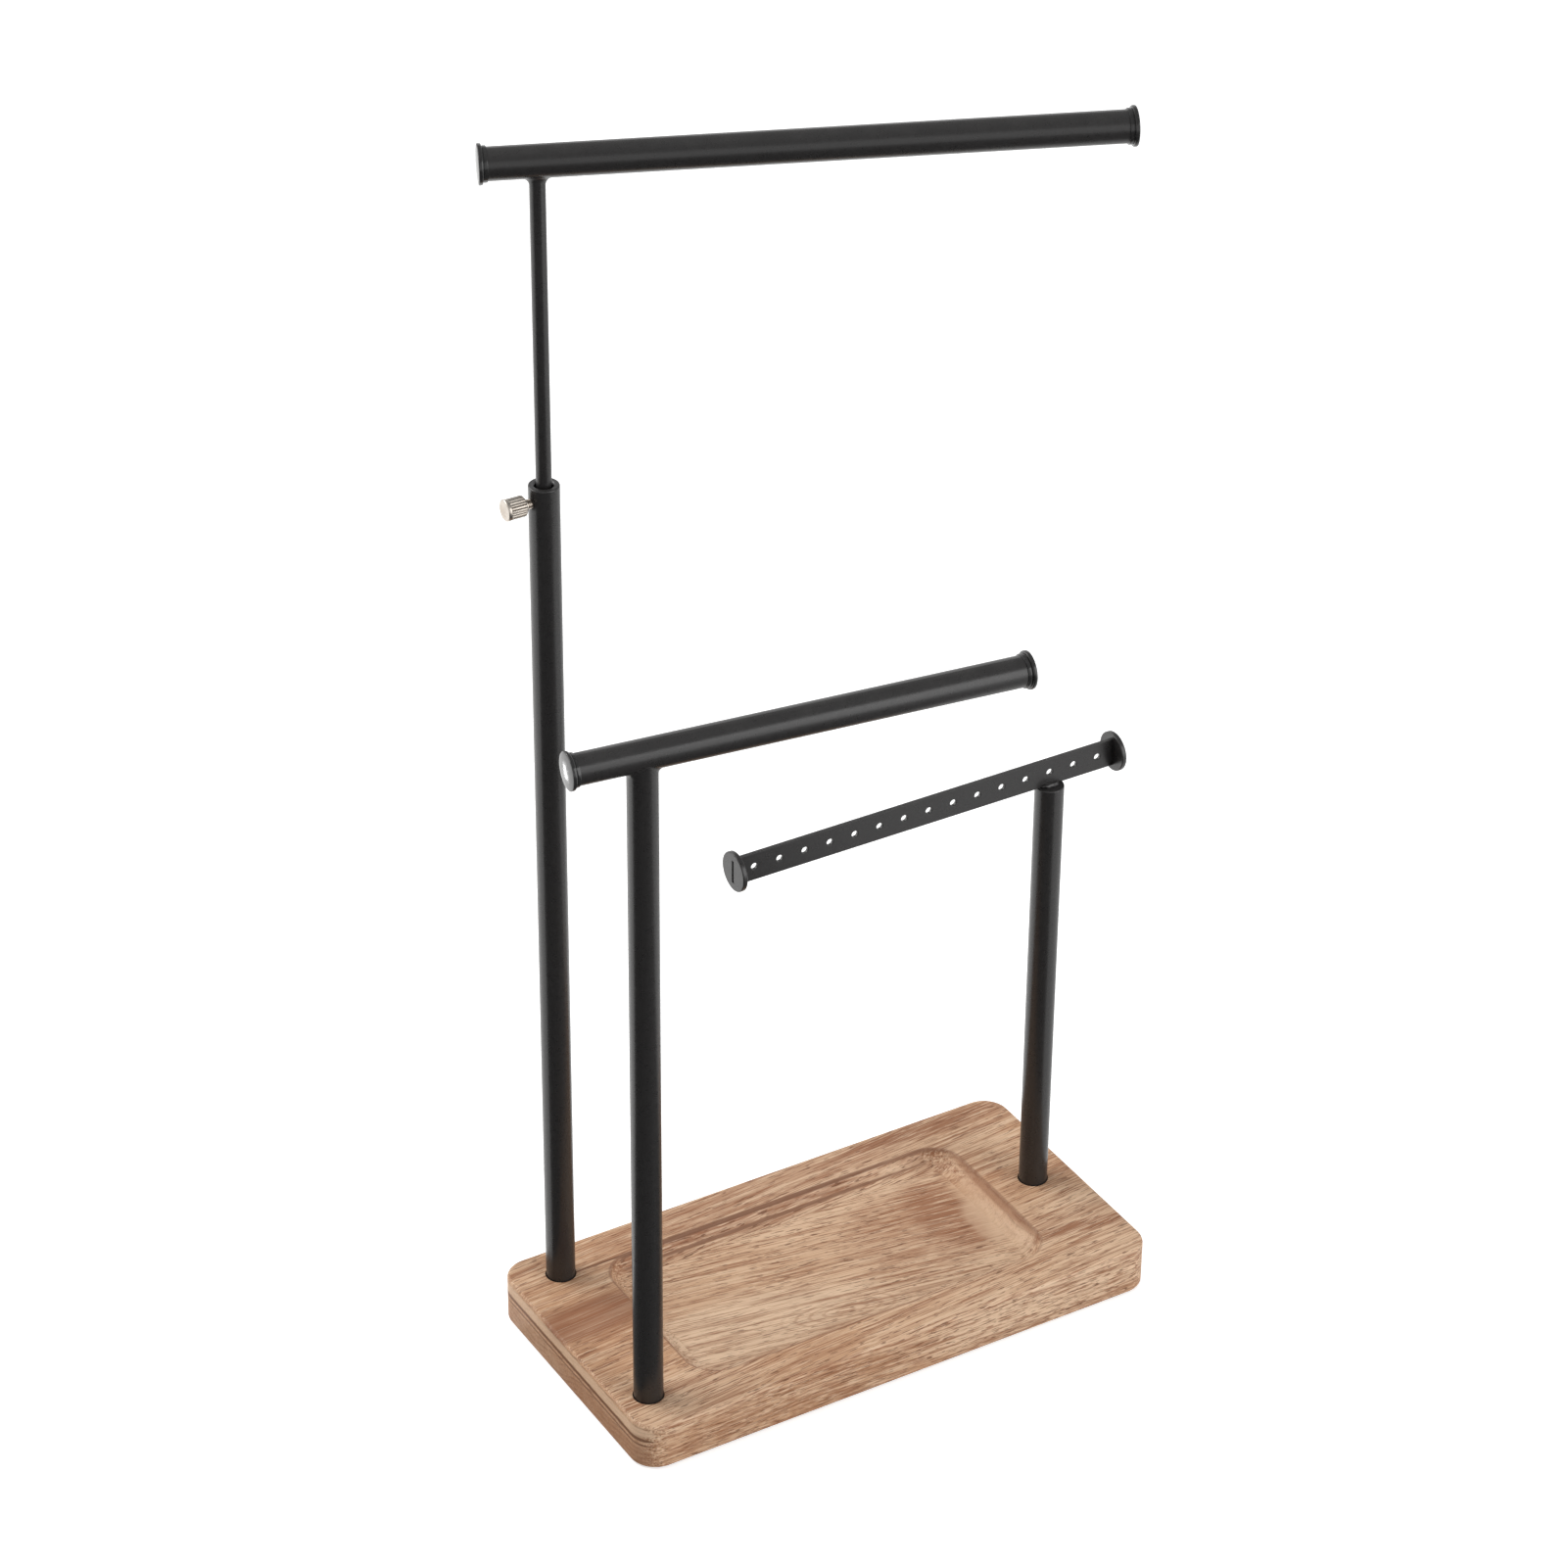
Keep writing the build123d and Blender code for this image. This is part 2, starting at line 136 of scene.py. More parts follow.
def startGroup(name, inputs, outputs):
    tree = bpy.data.node_groups.new(name, "ShaderNodeTree")
    for label, kind, default in inputs:
        socket = tree.interface.new_socket(name=label, in_out="INPUT", socket_type=kind)
        if default is not None:
            socket.default_value = default
    for label, kind in outputs:
        tree.interface.new_socket(name=label, in_out="OUTPUT", socket_type=kind)
    given = tree.nodes.new("NodeGroupInput").outputs
    result = tree.nodes.new("NodeGroupOutput").inputs
    return tree, given, result


def useGroup(tree, group, sockets):
    placed = addNode(tree, "ShaderNodeGroup", {"node_tree": group})
    for name, value in sockets.items():
        feed(tree, placed.inputs[name], value)
    return placed.outputs


# effects that several finishes share
effectLook = {
    "speckle": 0.13,                # frequency of the speckle against the fine grain
    "bevelSamples": 6,
    "wearEdge": (0.99, 0.82),       # cosines of the bend at which wear starts and is full
    "wearPatch": (3.0, 3.0, 3.0),   # mm
    "wearSpan": (0.38, 0.62),       # noise values between which wear shows
    "dustFacing": (0.35, 1.0),      # cosines of the slope
    "dustPatch": (9.0, 9.0, 9.0),   # mm
    "dustSpan": (0.30, 0.75),
}


def buildFineGrain():
    tree, given, result = startGroup(
        "fineGrain",
        [("Vector", "NodeSocketVector", None), ("Size", "NodeSocketFloat", 0.0004)],
        [("Speckle", "NodeSocketFloat"), ("Height", "NodeSocketFloat")],
    )
    fineCoords = scaled(tree, given["Vector"], maths(tree, "DIVIDE", 1.0, given["Size"]))
    broadCoords = scaled(tree, fineCoords, effectLook["speckle"])
    feed(tree, result["Height"], noiseAt(tree, fineCoords, 1.0))
    feed(tree, result["Speckle"], noiseAt(tree, broadCoords))
    return tree


def buildEdgeWear():
    tree, given, result = startGroup(
        "edgeWear",
        [
            ("Vector", "NodeSocketVector", None),
            ("Radius", "NodeSocketFloat", 0.0004),
            ("Amount", "NodeSocketFloat", 0.5),
        ],
        [("Wear", "NodeSocketFloat")],
    )
    settings = {"samples": effectLook["bevelSamples"]}
    rounded = addNode(tree, "ShaderNodeBevel", settings, {"Radius": given["Radius"]}).outputs[0]
    normal = addNode(tree, "ShaderNodeNewGeometry").outputs["Normal"]
    facing = vectorMaths(tree, "DOT_PRODUCT", rounded, normal)["Value"]
    edge = remap(tree, facing, *effectLook["wearEdge"])
    patch = noiseAt(tree, stretched(tree, given["Vector"], effectLook["wearPatch"]), 3.0, 0.6)
    worn = times(tree, edge, remap(tree, patch, *effectLook["wearSpan"]))
    feed(tree, result["Wear"], maths(tree, "MULTIPLY", worn, given["Amount"], True))
    return tree


def buildSettledDust():
    tree, given, result = startGroup(
        "settledDust",
        [("Vector", "NodeSocketVector", None), ("Amount", "NodeSocketFloat", 0.1)],
        [("Dust", "NodeSocketFloat")],
    )
    normal = addNode(tree, "ShaderNodeNewGeometry").outputs["Normal"]
    upward = remap(tree, split(tree, normal)["Z"], *effectLook["dustFacing"])
    patch = noiseAt(tree, stretched(tree, given["Vector"], effectLook["dustPatch"]), 3.0)
    settled = times(tree, upward, remap(tree, patch, *effectLook["dustSpan"]))
    feed(tree, result["Dust"], maths(tree, "MULTIPLY", settled, given["Amount"], True))
    return tree


def buildFibreStreaks():
    tree, given, result = startGroup(
        "fibreStreaks",
        [("Vector", "NodeSocketVector", None), ("Grain", "NodeSocketVector", (1.0, 1.0, 1.0))],
        [("Streak", "NodeSocketFloat")],
    )
    fibreCoords = vectorMaths(tree, "MULTIPLY", given["Vector"], given["Grain"])["Vector"]
    feed(tree, result["Streak"], noiseAt(tree, fibreCoords, 3.0, 0.6))
    return tree


fineGrain = buildFineGrain()
edgeWear = buildEdgeWear()
settledDust = buildSettledDust()
fibreStreaks = buildFibreStreaks()
print("shared effects built")


def startMaterial(name, colour):
    material = bpy.data.materials.new(name)
    material.use_nodes = True
    material.diffuse_color = (*colour, 1.0)
    tree = material.node_tree
    surface = tree.nodes["Principled BSDF"]
    coords = addNode(tree, "ShaderNodeTexCoord").outputs["Object"]
    return material, tree, surface, coords


def addBump(tree, surface, height, strength, distance):
    sockets = {"Height": height, "Strength": strength, "Distance": distance}
    feed(tree, surface.inputs["Normal"], addNode(tree, "ShaderNodeBump", None, sockets).outputs[0])


def wornEdges(tree, coords, wear):
    radius, amount = wear
    return useGroup(tree, edgeWear, {"Vector": coords, "Radius": radius, "Amount": amount})["Wear"]


def dusted(tree, coords, colour, amount):
    dust = useGroup(tree, settledDust, {"Vector": coords, "Amount": amount})["Dust"]
    return mixColours(tree, dust, colour, dustColour)


# coated, moulded and plated finishes: grain in m, wear as radius in m and amount,
# bump as strength and distance in m
dustColour = (0.16, 0.15, 0.14, 1.0)
roughSpan = (0.3, 0.7)   # noise values over which the roughness changes
coatLook = {
    "main": (0.0160, 0.0150, 0.0150, 1.0),
    "speckle": (0.0195, 0.0184, 0.0184, 1.0),
    "worn": (0.055, 0.053, 0.052, 1.0),
    "wear": (0.00035, 0.5),
    "dust": 0.05,
    "grain": 0.00035,
    "roughness": (0.27, 0.31),
    "bump": (0.03, 0.00003),
}
capLook = {
    "main": (0.0120, 0.0118, 0.0120, 1.0),
    "speckle": (0.0240, 0.0235, 0.0235, 1.0),
    "worn": (0.08, 0.078, 0.076, 1.0),
    "wear": (0.0003, 0.4),
    "dust": 0.06,
    "grain": 0.00025,
    "roughness": (0.10, 0.17),
    "bump": (0.05, 0.00002),
}
nylonLook = {
    "main": (0.74, 0.72, 0.66, 1.0),
    "speckle": (0.60, 0.57, 0.50, 1.0),
    "worn": (0.82, 0.80, 0.75, 1.0),
    "wear": (0.0003, 0.4),
    "grain": 0.0005,
    "roughness": (0.42, 0.58),
    "bump": (0.12, 0.00004),
}


def buildCoating(name, look):
    material, tree, surface, coords = startMaterial(name, look["main"][:3])
    grain = useGroup(tree, fineGrain, {"Vector": coords, "Size": look["grain"]})
    colour = mixColours(tree, grain["Speckle"], look["main"], look["speckle"])
    colour = mixColours(tree, wornEdges(tree, coords, look["wear"]), colour, look["worn"])
    if "dust" in look:
        colour = dusted(tree, coords, colour, look["dust"])
    feed(tree, surface.inputs["Base Color"], colour)
    roughness = remap(tree, grain["Speckle"], *roughSpan, *look["roughness"])
    feed(tree, surface.inputs["Roughness"], roughness)
    addBump(tree, surface, grain["Height"], *look["bump"])
    return material


nickelLook = {
    "bright": (0.50, 0.455, 0.405, 1.0),
    "dull": (0.42, 0.37, 0.32, 1.0),
    "polished": (0.60, 0.56, 0.51, 1.0),
    # deep: colour of the painted shade in the flutes
    "deep": (0.10, 0.085, 0.07, 1.0),
    "paintedFluteShade": 0.5,
    "marks": (900.0, 5000.0, 5000.0),   # per m
    "grain": 0.0009,
    "wear": (0.0003, 0.4),
    "roughness": (0.26, 0.34),
    "bump": (0.02, 0.00002),
}
zincLook = {
    "bright": (0.60, 0.61, 0.62, 1.0),
    "dull": (0.42, 0.42, 0.41, 1.0),
    "polished": (0.78, 0.78, 0.78, 1.0),
    "deep": (0.10, 0.10, 0.10, 1.0),
    "paintedFluteShade": 0.0,
    "marks": (4000.0, 4000.0, 4000.0),
    "grain": 0.0009,
    "wear": (0.0003, 0.5),
    "roughness": (0.28, 0.45),
    "bump": (0.15, 0.00002),
}
metalSpans = {"dull": (0.35, 0.7), "paintedFluteShade": (0.15, 0.6)}


def buildMetal(name, look):
    material, tree, surface, coords = startMaterial(name, look["bright"][:3])
    marks = useGroup(tree, fibreStreaks, {"Vector": coords, "Grain": look["marks"]})["Streak"]
    grain = useGroup(tree, fineGrain, {"Vector": coords, "Size": look["grain"]})
    dullness = remap(tree, grain["Speckle"], *metalSpans["dull"])
    colour = mixColours(tree, dullness, look["bright"], look["dull"])
    colour = mixColours(tree, wornEdges(tree, coords, look["wear"]), colour, look["polished"])
    # painted shade darkens the flutes; only the fluted head has this attribute
    groove = addNode(tree, "ShaderNodeAttribute", {"attribute_name": "groove"}).outputs["Fac"]
    paintedFluteShade = times(tree, remap(tree, groove, *metalSpans["paintedFluteShade"]), look["paintedFluteShade"])
    feed(tree, surface.inputs["Base Color"], mixColours(tree, paintedFluteShade, colour, look["deep"]))
    surface.inputs["Metallic"].default_value = 1.0
    feed(tree, surface.inputs["Roughness"], remap(tree, marks, *roughSpan, *look["roughness"]))
    addBump(tree, surface, marks, *look["bump"])
    return material


sheetLook = {
    "dark": (0.020, 0.020, 0.021, 1.0),
    "pale": (0.060, 0.058, 0.056, 1.0),
    "cell": (1.6, 1.6, 1.6),   # mm
    "dust": 0.1,
    "grain": 0.0005,
    "roughness": (0.78, 0.92),
    "bump": (0.5, 0.0002),
}


def buildAntiSlip():
    material, tree, surface, coords = startMaterial("antiSlipSheet", sheetLook["dark"][:3])
    sockets = {"Vector": stretched(tree, coords, sheetLook["cell"]), "Scale": 1.0}
    pattern = addNode(tree, "ShaderNodeTexVoronoi", {"feature": "SMOOTH_F1"}, sockets)
    cells = pattern.outputs["Distance"]
    grain = useGroup(tree, fineGrain, {"Vector": coords, "Size": sheetLook["grain"]})
    paleness = maths(tree, "MULTIPLY", cells, grain["Speckle"], True)
    colour = mixColours(tree, paleness, sheetLook["dark"], sheetLook["pale"])
    feed(tree, surface.inputs["Base Color"], dusted(tree, coords, colour, sheetLook["dust"]))
    roughness = remap(tree, grain["Speckle"], *roughSpan, *sheetLook["roughness"])
    feed(tree, surface.inputs["Roughness"], roughness)
    addBump(tree, surface, plus(tree, cells, grain["Height"]), *sheetLook["bump"])
    return material


# oiled wood: flat sawn layers, fibres and pores along X
woodLook = {
    "tan": (0.515, 0.297, 0.170, 1.0),
    "cream": (0.720, 0.518, 0.355, 1.0),
    "brown": (0.285, 0.122, 0.060, 1.0),
    "line": (0.235, 0.118, 0.068, 1.0),
    "pore": (0.150, 0.062, 0.030, 1.0),
    "creamShare": 0.7,          # how strong the slow pale waves are
    "turn": 4.0,                # degrees of the grain from the board's long edge
    "trayTurn": -9.0,           # the same on the tray's floor
    "trayStart": -0.0085,       # m from the tray's rim to its floor
    "trayCream": 0.32,          # how much paler the freshly cut floor is
    "layer": 2.3,               # mm between layer lines
    "lean": 0.16,               # rise of the layers towards the back
    "lineShare": (0.25, 0.75),  # strength of the layer lines on level and upright faces
    "endCalm": 0.8,             # how calm the board's ends are
    "calmLoss": 0.75,           # share of the fibres that calm wood loses
    "poreShare": 0.80,
    "fibreRelief": 0.45,        # height of the fibres against the depth of the pores
    "ragged": 1.1,              # how far the streaks fray borders
    "wear": (0.0012, 0.12),
    "roughness": (0.48, 0.66),
    "specular": 0.32,
    "bump": (0.25, 0.00018),
}
woodNoise = {   # sizes in mm along each axis
    "wave": (130, 55, 40),
    "swell": (120, 40, 60),
    "lineMask": (60, 9, 9),
    "pore": (6.5, 0.62, 0.62),
    "poreMask": (60, 25, 25),
}
woodFibres = {"streak": (6.0, 330.0, 500.0), "fibre": (38.0, 1450.0, 1450.0)}   # per m
woodBend = {"wave": 0.006, "swell": 0.014, "ragged": 0.0007}   # m
woodSpans = {   # values between which an effect fades in
    "cream": (0.40, 0.68),
    "lineStart": (0.35, 0.93),
    "lineEnd": (1.0, 0.94),
    "lineFacing": (0.9, 0.4),
    "lineMask": (0.3, 0.7),
    "endFacing": (0.6, 0.9),
    "pore": (0.60, 0.66),
    "poreMask": (0.10, 0.55),
    "patch": (1.25, 0.70),
}
# soft patches of colour: middle and half size in mm, turn in degrees; calm ones show few pores
woodPatches = [
    {"middle": (-108, 14, 23), "half": (34, 12, 7), "turn": 2,
     "colour": "brown", "strength": 1.0, "ragged": 0.5, "calm": 0.9},
    {"middle": (84, 58.5, 23), "half": (46, 4.5, 9), "turn": -1,
     "colour": "brown", "strength": 0.85, "ragged": 0.5},
    {"middle": (109, -38, 23), "half": (30, 4, 8), "turn": -9,
     "colour": "brown", "strength": 0.90, "ragged": 0.5},
    {"middle": (50, 3, 15), "half": (34, 30, 6),
     "colour": "brown", "strength": 0.35, "ragged": 1.0},
    {"middle": (66, 6, 15), "half": (15, 27, 6), "turn": 6,
     "colour": "brown", "strength": 0.70, "ragged": 0.9},
    {"middle": (80, 40, 19), "half": (14, 8, 6),
     "colour": "brown", "strength": 0.35, "ragged": 0.5},
    {"middle": (-35, 42.5, 19), "half": (84, 4.5, 5),
     "colour": "brown", "strength": 0.55, "ragged": 0.5},
    {"middle": (-52, -18, 15), "half": (62, 21, 6), "turn": -2,
     "colour": "cream", "strength": 0.95, "ragged": 1.0, "calm": 0.3},
    {"middle": (83.5, -3, 19), "half": (9, 33, 8), "turn": 3,
     "colour": "cream", "strength": 0.25, "ragged": 0.9, "calm": 1.05},
    {"middle": (78, -5, 17), "half": (7.5, 18, 7), "turn": -4,
     "colour": "cream", "strength": 0.40, "ragged": 0.3, "calm": 1.05},
    {"middle": (95, 30, 23), "half": (30, 14, 5),
     "colour": "cream", "strength": 0.40, "ragged": 1.0},
    {"middle": (-12, 55, 23), "half": (80, 10, 6),
     "colour": "brown", "strength": 0.46, "ragged": 0.8},
    {"middle": (70, -66, 12), "half": (62, 5, 10),
     "colour": "cream", "strength": 0.80, "ragged": 1.0},
]
# streaks and fibres over the patches
woodStreaks = [
    {"noise": "streak", "span": (0.50, 0.66), "strength": 0.62, "colour": "brown"},
    {"noise": "streak", "span": (0.48, 0.34), "strength": 0.45, "colour": "cream"},
    {"noise": "fibre", "span": (0.52, 0.62), "strength": 0.78, "colour": "brown"},
    {"noise": "fibre", "span": (0.46, 0.36), "strength": 0.74, "colour": "cream"},
]
# bands and lines laid over the fibres
woodLines = [
    # painted shade: dark line at the tray's back rim
    {"middle": (-30, 45.2, 22.4), "half": (98, 0.9, 1.3),
     "colour": "pore", "strength": 0.95, "ragged": 0.2},
    {"middle": (-10, 41.6, 17.8), "half": (92, 0.8, 0.9),
     "colour": "line", "strength": 0.90, "ragged": 0.3},
    {"middle": (88.4, 1, 21), "half": (2.0, 38, 3),
     "colour": "brown", "strength": 0.55, "ragged": 0.4},
    {"middle": (-128, 0, 18.6), "half": (6, 190, 2.4),
     "colour": "cream", "strength": 0.55, "ragged": 0.3},
    {"middle": (-128, 0, 5), "half": (6, 190, 6),
     "colour": "brown", "strength": 0.45, "ragged": 0.3},
    {"middle": (-128, 0, 15.0), "half": (6, 190, 0.9),
     "colour": "pore", "strength": 0.85, "ragged": 0.2},
    {"middle": (-128, 0, 12.2), "half": (6, 190, 0.6),
     "colour": "pore", "strength": 0.65, "ragged": 0.2},
]
woodEye = {   # rings in the tray
    "middle": (-8, -29, 16), "half": (40, 13, 40), "turn": -8,
    "rings": 6.0, "wobble": 0.8, "ringSpan": (0.28, 0.45), "fade": (1.0, 0.45), "strength": 0.36,
}
trayRim = {   # painted shade: dark line along the tray's rim, faint on the right
    "half": (89.0, 45.5), "corner": 15.0,   # mm, seen from above
    "width": (0.0011, 0.0003),              # m from the rim
    "height": (0.0195, 0.0215),             # m
    "slant": 0.8, "fade": (0.045, 0.075),   # where the right starts, in m
    "strength": 0.85, "rightShare": 0.55,
    "streakSpan": (0.3, 0.6), "streakShare": (0.5, 1.0),
}


def patchReach(tree, coords, patch):
    placing = {
        "Vector": coords,
        "Location": [value * mm for value in patch["middle"]],
        "Rotation": (0.0, 0.0, math.radians(patch.get("turn", 0))),
        "Scale": [value * mm for value in patch["half"]],
    }
    local = addNode(tree, "ShaderNodeMapping", {"vector_type": "TEXTURE"}, placing).outputs[0]
    return vectorMaths(tree, "LENGTH", local)["Value"]


def insidePatch(tree, coords, patch, ragged):
    border = times(tree, ragged, patch["ragged"])
    return remap(tree, plus(tree, patchReach(tree, coords, patch), border), *woodSpans["patch"])


def eyeRings(tree, coords, ragged):
    reach = patchReach(tree, coords, woodEye)
    wobble = times(tree, ragged, woodEye["wobble"])
    wavy = plus(tree, times(tree, reach, woodEye["rings"]), wobble)
    ring = remap(tree, maths(tree, "PINGPONG", wavy, 0.5), *woodEye["ringSpan"])
    shown = times(tree, ring, remap(tree, reach, *woodEye["fade"]))
    return times(tree, shown, woodEye["strength"])


def fromTrayRim(tree, coords):
    corner = trayRim["corner"]
    inner = [(half - corner) * mm for half in trayRim["half"]] + [0.0]
    flat = vectorMaths(tree, "MULTIPLY", coords, (1.0, 1.0, 0.0))["Vector"]
    folded = vectorMaths(tree, "ABSOLUTE", flat)["Vector"]
    reach = vectorMaths(tree, "SUBTRACT", folded, inner)["Vector"]
    beyond = vectorMaths(tree, "MAXIMUM", reach, (0.0, 0.0, 0.0))["Vector"]
    outside = vectorMaths(tree, "LENGTH", beyond)["Value"]
    sides = split(tree, reach)
    inside = maths(tree, "MINIMUM", maths(tree, "MAXIMUM", sides["X"], sides["Y"]), 0.0)
    return maths(tree, "SUBTRACT", plus(tree, outside, inside), corner * mm)


# painted shade along the tray's rim, broken up by the streaks
def paintedRimShade(tree, coords, rimGap, streak):
    places = split(tree, coords)
    rightward = maths(tree, "SUBTRACT", places["X"], times(tree, places["Y"], trayRim["slant"]))
    strength = trayRim["strength"]
    fade = remap(tree, rightward, *trayRim["fade"], strength, trayRim["rightShare"] * strength)
    line = remap(tree, maths(tree, "ABSOLUTE", rimGap), *trayRim["width"])
    line = times(tree, line, fade)
    line = times(tree, line, remap(tree, places["Z"], *trayRim["height"]))
    broken = remap(tree, streak, *trayRim["streakSpan"], *trayRim["streakShare"])
    return times(tree, line, broken)


def bentGrain(tree, coords, wave, inTray):
    shift = times(tree, centred(tree, wave), woodBend["wave"])
    bend = addNode(tree, "ShaderNodeCombineXYZ", None, {"Y": shift, "Z": shift}).outputs[0]
    trayChange = math.radians(woodLook["turn"] - woodLook["trayTurn"])
    turn = plus(tree, times(tree, inTray, trayChange), -math.radians(woodLook["turn"]))
    sockets = {"Vector": coords, "Angle": turn}
    rotation = addNode(tree, "ShaderNodeVectorRotate", {"rotation_type": "Z_AXIS"}, sockets)
    return vectorMaths(tree, "ADD", rotation.outputs[0], bend)["Vector"]


# clearest on upright faces
def layerLines(tree, coords, grainCoords, ragged, facing):
    axes = split(tree, grainCoords)
    swell = noiseAt(tree, stretched(tree, coords, woodNoise["swell"]), 1.0)
    height = plus(tree, axes["Z"], times(tree, axes["Y"], woodLook["lean"]))
    height = plus(tree, height, times(tree, swell, woodBend["swell"]))
    height = plus(tree, height, times(tree, ragged, woodBend["ragged"]))
    layer = maths(tree, "FRACT", maths(tree, "DIVIDE", height, woodLook["layer"] * mm))
    start = remap(tree, layer, *woodSpans["lineStart"])
    line = times(tree, start, remap(tree, layer, *woodSpans["lineEnd"]))
    level = maths(tree, "ABSOLUTE", facing["Z"])
    upright = remap(tree, level, *woodSpans["lineFacing"], *woodLook["lineShare"])
    mask = noiseAt(tree, stretched(tree, coords, woodNoise["lineMask"]))
    return times(tree, times(tree, line, upright), remap(tree, mask, *woodSpans["lineMask"]))


# short dashes that show as dots on the ends
def openPores(tree, coords, grainCoords, lively):
    pore = noiseAt(tree, stretched(tree, grainCoords, woodNoise["pore"]), 1.0)
    mask = noiseAt(tree, stretched(tree, coords, woodNoise["poreMask"]), 1.0)
    shown = remap(tree, pore, *woodSpans["pore"])
    shown = times(tree, shown, remap(tree, mask, *woodSpans["poreMask"]))
    return times(tree, shown, lively)


def buildWood():
    material, tree, surface, coords = startMaterial("oiledWood", woodLook["tan"][:3])
    facing = split(tree, addNode(tree, "ShaderNodeNewGeometry").outputs["Normal"])
    rimGap = fromTrayRim(tree, coords)
    inTray = maths(tree, "LESS_THAN", rimGap, woodLook["trayStart"])
    wave = noiseAt(tree, stretched(tree, coords, woodNoise["wave"]))
    grainCoords = bentGrain(tree, coords, wave, inTray)
    fibres = {}
    for name, grain in woodFibres.items():
        sockets = {"Vector": grainCoords, "Grain": grain}
        fibres[name] = useGroup(tree, fibreStreaks, sockets)["Streak"]
    ragged = times(tree, centred(tree, fibres["streak"]), woodLook["ragged"])
    # colour from broad to fine
    creamShare = times(tree, remap(tree, wave, *woodSpans["cream"]), woodLook["creamShare"])
    colour = mixColours(tree, creamShare, woodLook["tan"], woodLook["cream"])
    trayShare = times(tree, inTray, woodLook["trayCream"])
    colour = mixColours(tree, trayShare, colour, woodLook["cream"])
    endward = maths(tree, "ABSOLUTE", facing["X"])
    calm = remap(tree, endward, *woodSpans["endFacing"], 0.0, woodLook["endCalm"])
    for patch in woodPatches:
        inside = insidePatch(tree, coords, patch, ragged)
        share = times(tree, inside, patch["strength"])
        colour = mixColours(tree, share, colour, woodLook[patch["colour"]])
        if "calm" in patch:
            calm = maths(tree, "MAXIMUM", times(tree, inside, patch["calm"]), calm)
    lively = maths(tree, "SUBTRACT", 1.0, times(tree, calm, woodLook["calmLoss"]))
    lineShare = layerLines(tree, coords, grainCoords, ragged, facing)
    colour = mixColours(tree, lineShare, colour, woodLook["line"])
    for row in woodStreaks:
        shown = remap(tree, fibres[row["noise"]], *row["span"])
        share = times(tree, shown, times(tree, lively, row["strength"]))
        colour = mixColours(tree, share, colour, woodLook[row["colour"]])
    pores = openPores(tree, coords, grainCoords, lively)
    poreShare = times(tree, pores, woodLook["poreShare"])
    colour = mixColours(tree, poreShare, colour, woodLook["pore"])
    colour = mixColours(tree, eyeRings(tree, coords, ragged), colour, woodLook["brown"])
    for patch in woodLines:
        share = times(tree, insidePatch(tree, coords, patch, ragged), patch["strength"])
        colour = mixColours(tree, share, colour, woodLook[patch["colour"]])
    # painted shade along the tray's rim
    rimShadeShare = paintedRimShade(tree, coords, rimGap, fibres["streak"])
    colour = mixColours(tree, rimShadeShare, colour, woodLook["line"])
    colour = mixColours(tree, wornEdges(tree, coords, woodLook["wear"]), colour, woodLook["cream"])
    feed(tree, surface.inputs["Base Color"], colour)
    roughness = remap(tree, fibres["fibre"], *roughSpan, *woodLook["roughness"])
    feed(tree, surface.inputs["Roughness"], roughness)
    surface.inputs["Specular IOR Level"].default_value = woodLook["specular"]
    relief = maths(tree, "SUBTRACT", times(tree, fibres["fibre"], woodLook["fibreRelief"]), pores)
    addBump(tree, surface, relief, *woodLook["bump"])
    return material


finishes = {
    "acacia_wood": buildWood(),
    "black_powder_coat": buildCoating("blackPowderCoat", coatLook),
    "black_cap_plastic": buildCoating("blackCapPlastic", capLook),
    "nickel_plate": buildMetal("nickelPlate", nickelLook),
    "zinc_steel": buildMetal("zincSteel", zincLook),
    "nylon": buildCoating("nylon", nylonLook),
    "anti_slip_sheet": buildAntiSlip(),
}
for row in frame["record"]["subparts"]:
    cadMesh = cadNodes[row["node"]].data
    cadMesh.materials.clear()
    cadMesh.materials.append(finishes[row["material_slot"]])


# new pieces
def addPiece(name, shape, slotName, body, standsFor, sharpAngle=32.0):
    bmesh.ops.remove_doubles(shape, verts=shape.verts, dist=mergeGap)
    bmesh.ops.recalc_face_normals(shape, faces=shape.faces)
    for face in shape.faces:
        face.smooth = True
    for edge in shape.edges:
        edge.smooth = edge.calc_face_angle(0.0) < math.radians(sharpAngle)
    mesh = bpy.data.meshes.new(name)
    shape.to_mesh(mesh)
    shape.free()
    mesh.materials.append(finishes[slotName])
    piece = bpy.data.objects.new(name, mesh)
    bpy.context.scene.collection.objects.link(piece)
    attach(piece, body)
    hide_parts(*standsFor)


def pointsOf(parts):
    return [part for part in parts if isinstance(part, bmesh.types.BMVert)]


def edgesOf(parts):
    return [part for part in parts if isinstance(part, bmesh.types.BMEdge)]


def wholeShape(shape):
    return shape.verts[:] + shape.edges[:] + shape.faces[:]


# a line of points, each a radius and a height in m, ready to be spun about Z
def startProfile(shape, profile):
    points = [shape.verts.new((radius, 0.0, height)) for radius, height in profile]
    edges = [shape.edges.new(pair) for pair in zip(points, points[1:])]
    return points + edges


def standAlong(shape, origin, along):
    turn = Vector(along).to_track_quat("Z", "Y").to_matrix().to_4x4()
    bmesh.ops.transform(shape, matrix=Matrix.Translation(origin) @ turn, verts=shape.verts)


